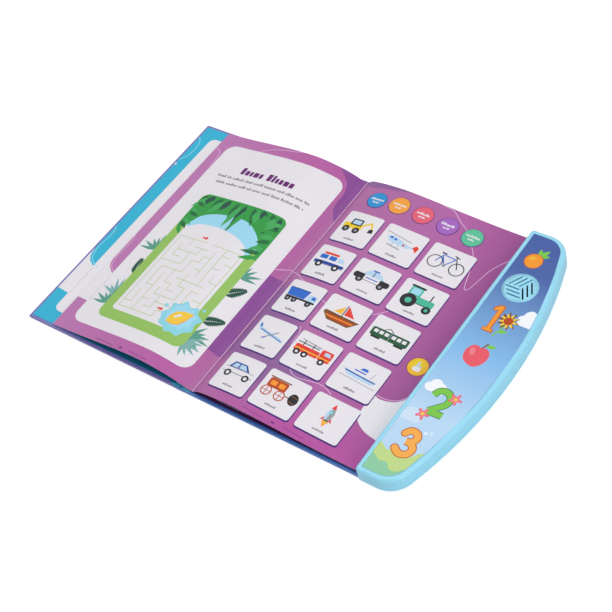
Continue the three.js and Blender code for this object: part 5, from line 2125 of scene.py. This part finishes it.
@dataclass
class Studio:
    """The floor, the lamps and the camera."""

    position: Place = (0.67065, -0.55796, 0.93207)
    right: Place = (0.79349, 0.57163, -0.20884)
    up: Place = (-0.33381, 0.69574, 0.63601)
    forward: Place = (-0.50886, 0.43496, -0.74288)
    lens: float = 81.06
    sensor: float = 36.0
    dome_low: float = 0.24
    dome_high: float = 0.68
    floor_half: float = 6.0
    floor_z: float = -0.0003
    floor_glow: float = 0.5
    # Each lamp's name, place, side and power
    lamps: tuple[tuple[str, Place, float, float], ...] = (
        ("key lamp", (-0.4, 0.3, 1.6), 1.4, 7.2),
        ("side lamp", (1.5, -0.5, 0.7), 0.9, 7.6),
    )

    def camera(self) -> None:
        """Builds the camera where the photograph was taken from."""
        data = bpy.data.cameras.new("camera")
        data.lens = self.lens
        data.sensor_width = self.sensor
        data.clip_start, data.clip_end = 0.01, 50.0
        camera = bpy.data.objects.new("camera", data)
        bpy.context.scene.collection.objects.link(camera)
        back = [-value for value in self.forward]
        axes = Matrix((self.right, self.up, back)).transposed()
        camera.matrix_world = Matrix.Translation(self.position) @ axes.to_4x4()
        bpy.context.scene.camera = camera

    @staticmethod
    def lamp(name: str, place: Place, size: float, power: float) -> None:
        """Builds one soft lamp that points at the object.

        Args:
            name: the lamp's name.
            place: where it stands, in metres.
            size: its side, in metres.
            power: its power in watts.
        """
        data = bpy.data.lights.new(name, "AREA")
        data.size = size
        data.energy = power
        lamp = bpy.data.objects.new(name, data)
        lamp.location = place
        lamp.rotation_euler = (-Vector(place)).to_track_quat("-Z", "Y").to_euler()
        bpy.context.scene.collection.objects.link(lamp)

    def world(self) -> None:
        """Builds the world, white to the eye and as a light brighter above than at the sides."""
        world = bpy.data.worlds.new("studio")
        bpy.context.scene.world = world
        world.use_nodes = True
        tree = world.node_tree
        way = add_node(tree, "ShaderNodeTexCoord").outputs["Generated"]
        rise = add_node(tree, "ShaderNodeSeparateXYZ", {0: way}).outputs[2]
        dome = ramp(tree, rise, 0.0, 0.8, self.dome_low, self.dome_high)
        path = add_node(tree, "ShaderNodeLightPath").outputs
        seen = work_out(tree, "MAXIMUM", path["Is Camera Ray"], path["Is Glossy Ray"])
        clear = work_out(tree, "MAXIMUM", seen, path["Is Transmission Ray"])
        level = add_node(tree, "ShaderNodeMix", {0: clear, 2: dome, 3: 1.0})
        background = tree.nodes["Background"]
        background.inputs["Color"].default_value = (1, 1, 1, 1)
        tree.links.new(level.outputs[0], background.inputs["Strength"])

    def floor(self) -> None:
        """Builds the pale floor, which keeps the object's shadow."""
        mesh = bpy.data.meshes.new("floor")
        half, z = self.floor_half, self.floor_z
        mesh.from_pydata(
            [(-half, -half, z), (half, -half, z), (half, half, z), (-half, half, z)], [], [(0, 1, 2, 3)]
        )
        material = bpy.data.materials.new("Pale floor")
        material.use_nodes = True
        tree = material.node_tree
        shader = tree.nodes["Principled BSDF"]
        place = add_node(tree, "ShaderNodeTexCoord").outputs["Object"]
        noise = add_node(tree, "ShaderNodeTexNoise", {"Vector": place, "Scale": 3.0})
        tree.links.new(
            ramp(tree, noise.outputs["Fac"], 0.0, 1.0, 0.80, 0.82), shader.inputs["Base Color"]
        )
        shader.inputs["Roughness"].default_value = 0.9
        shader.inputs["Specular IOR Level"].default_value = 0.0
        path = add_node(tree, "ShaderNodeLightPath").outputs
        glow = work_out(tree, "MULTIPLY", path["Is Camera Ray"], self.floor_glow)
        shader.inputs["Emission Color"].default_value = (1, 1, 1, 1)
        tree.links.new(glow, shader.inputs["Emission Strength"])
        mesh.materials.append(material)
        add_object("floor", mesh)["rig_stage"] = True

    def build(self) -> None:
        """Builds the studio."""
        self.camera()
        self.world()
        self.floor()
        for lamp in self.lamps:
            self.lamp(*lamp)
        bpy.context.scene.view_settings.view_transform = "Standard"


def main() -> None:
    """Builds everything in order."""
    logging.basicConfig(level=logging.INFO, format="%(message)s")
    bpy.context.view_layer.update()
    dress_nodes()
    for part in (Studio(), Covers(), Endpaper(), PageBlock(), TurnedLeaf(), Housing()):
        part.build()
        LOG.info("built %s", type(part).__name__)
    triangles = sum(len(p.vertices) - 2 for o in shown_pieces() if o.type == "MESH" for p in o.data.polygons)
    LOG.info("triangles %d", triangles)


if __name__ == "__main__":
    main()
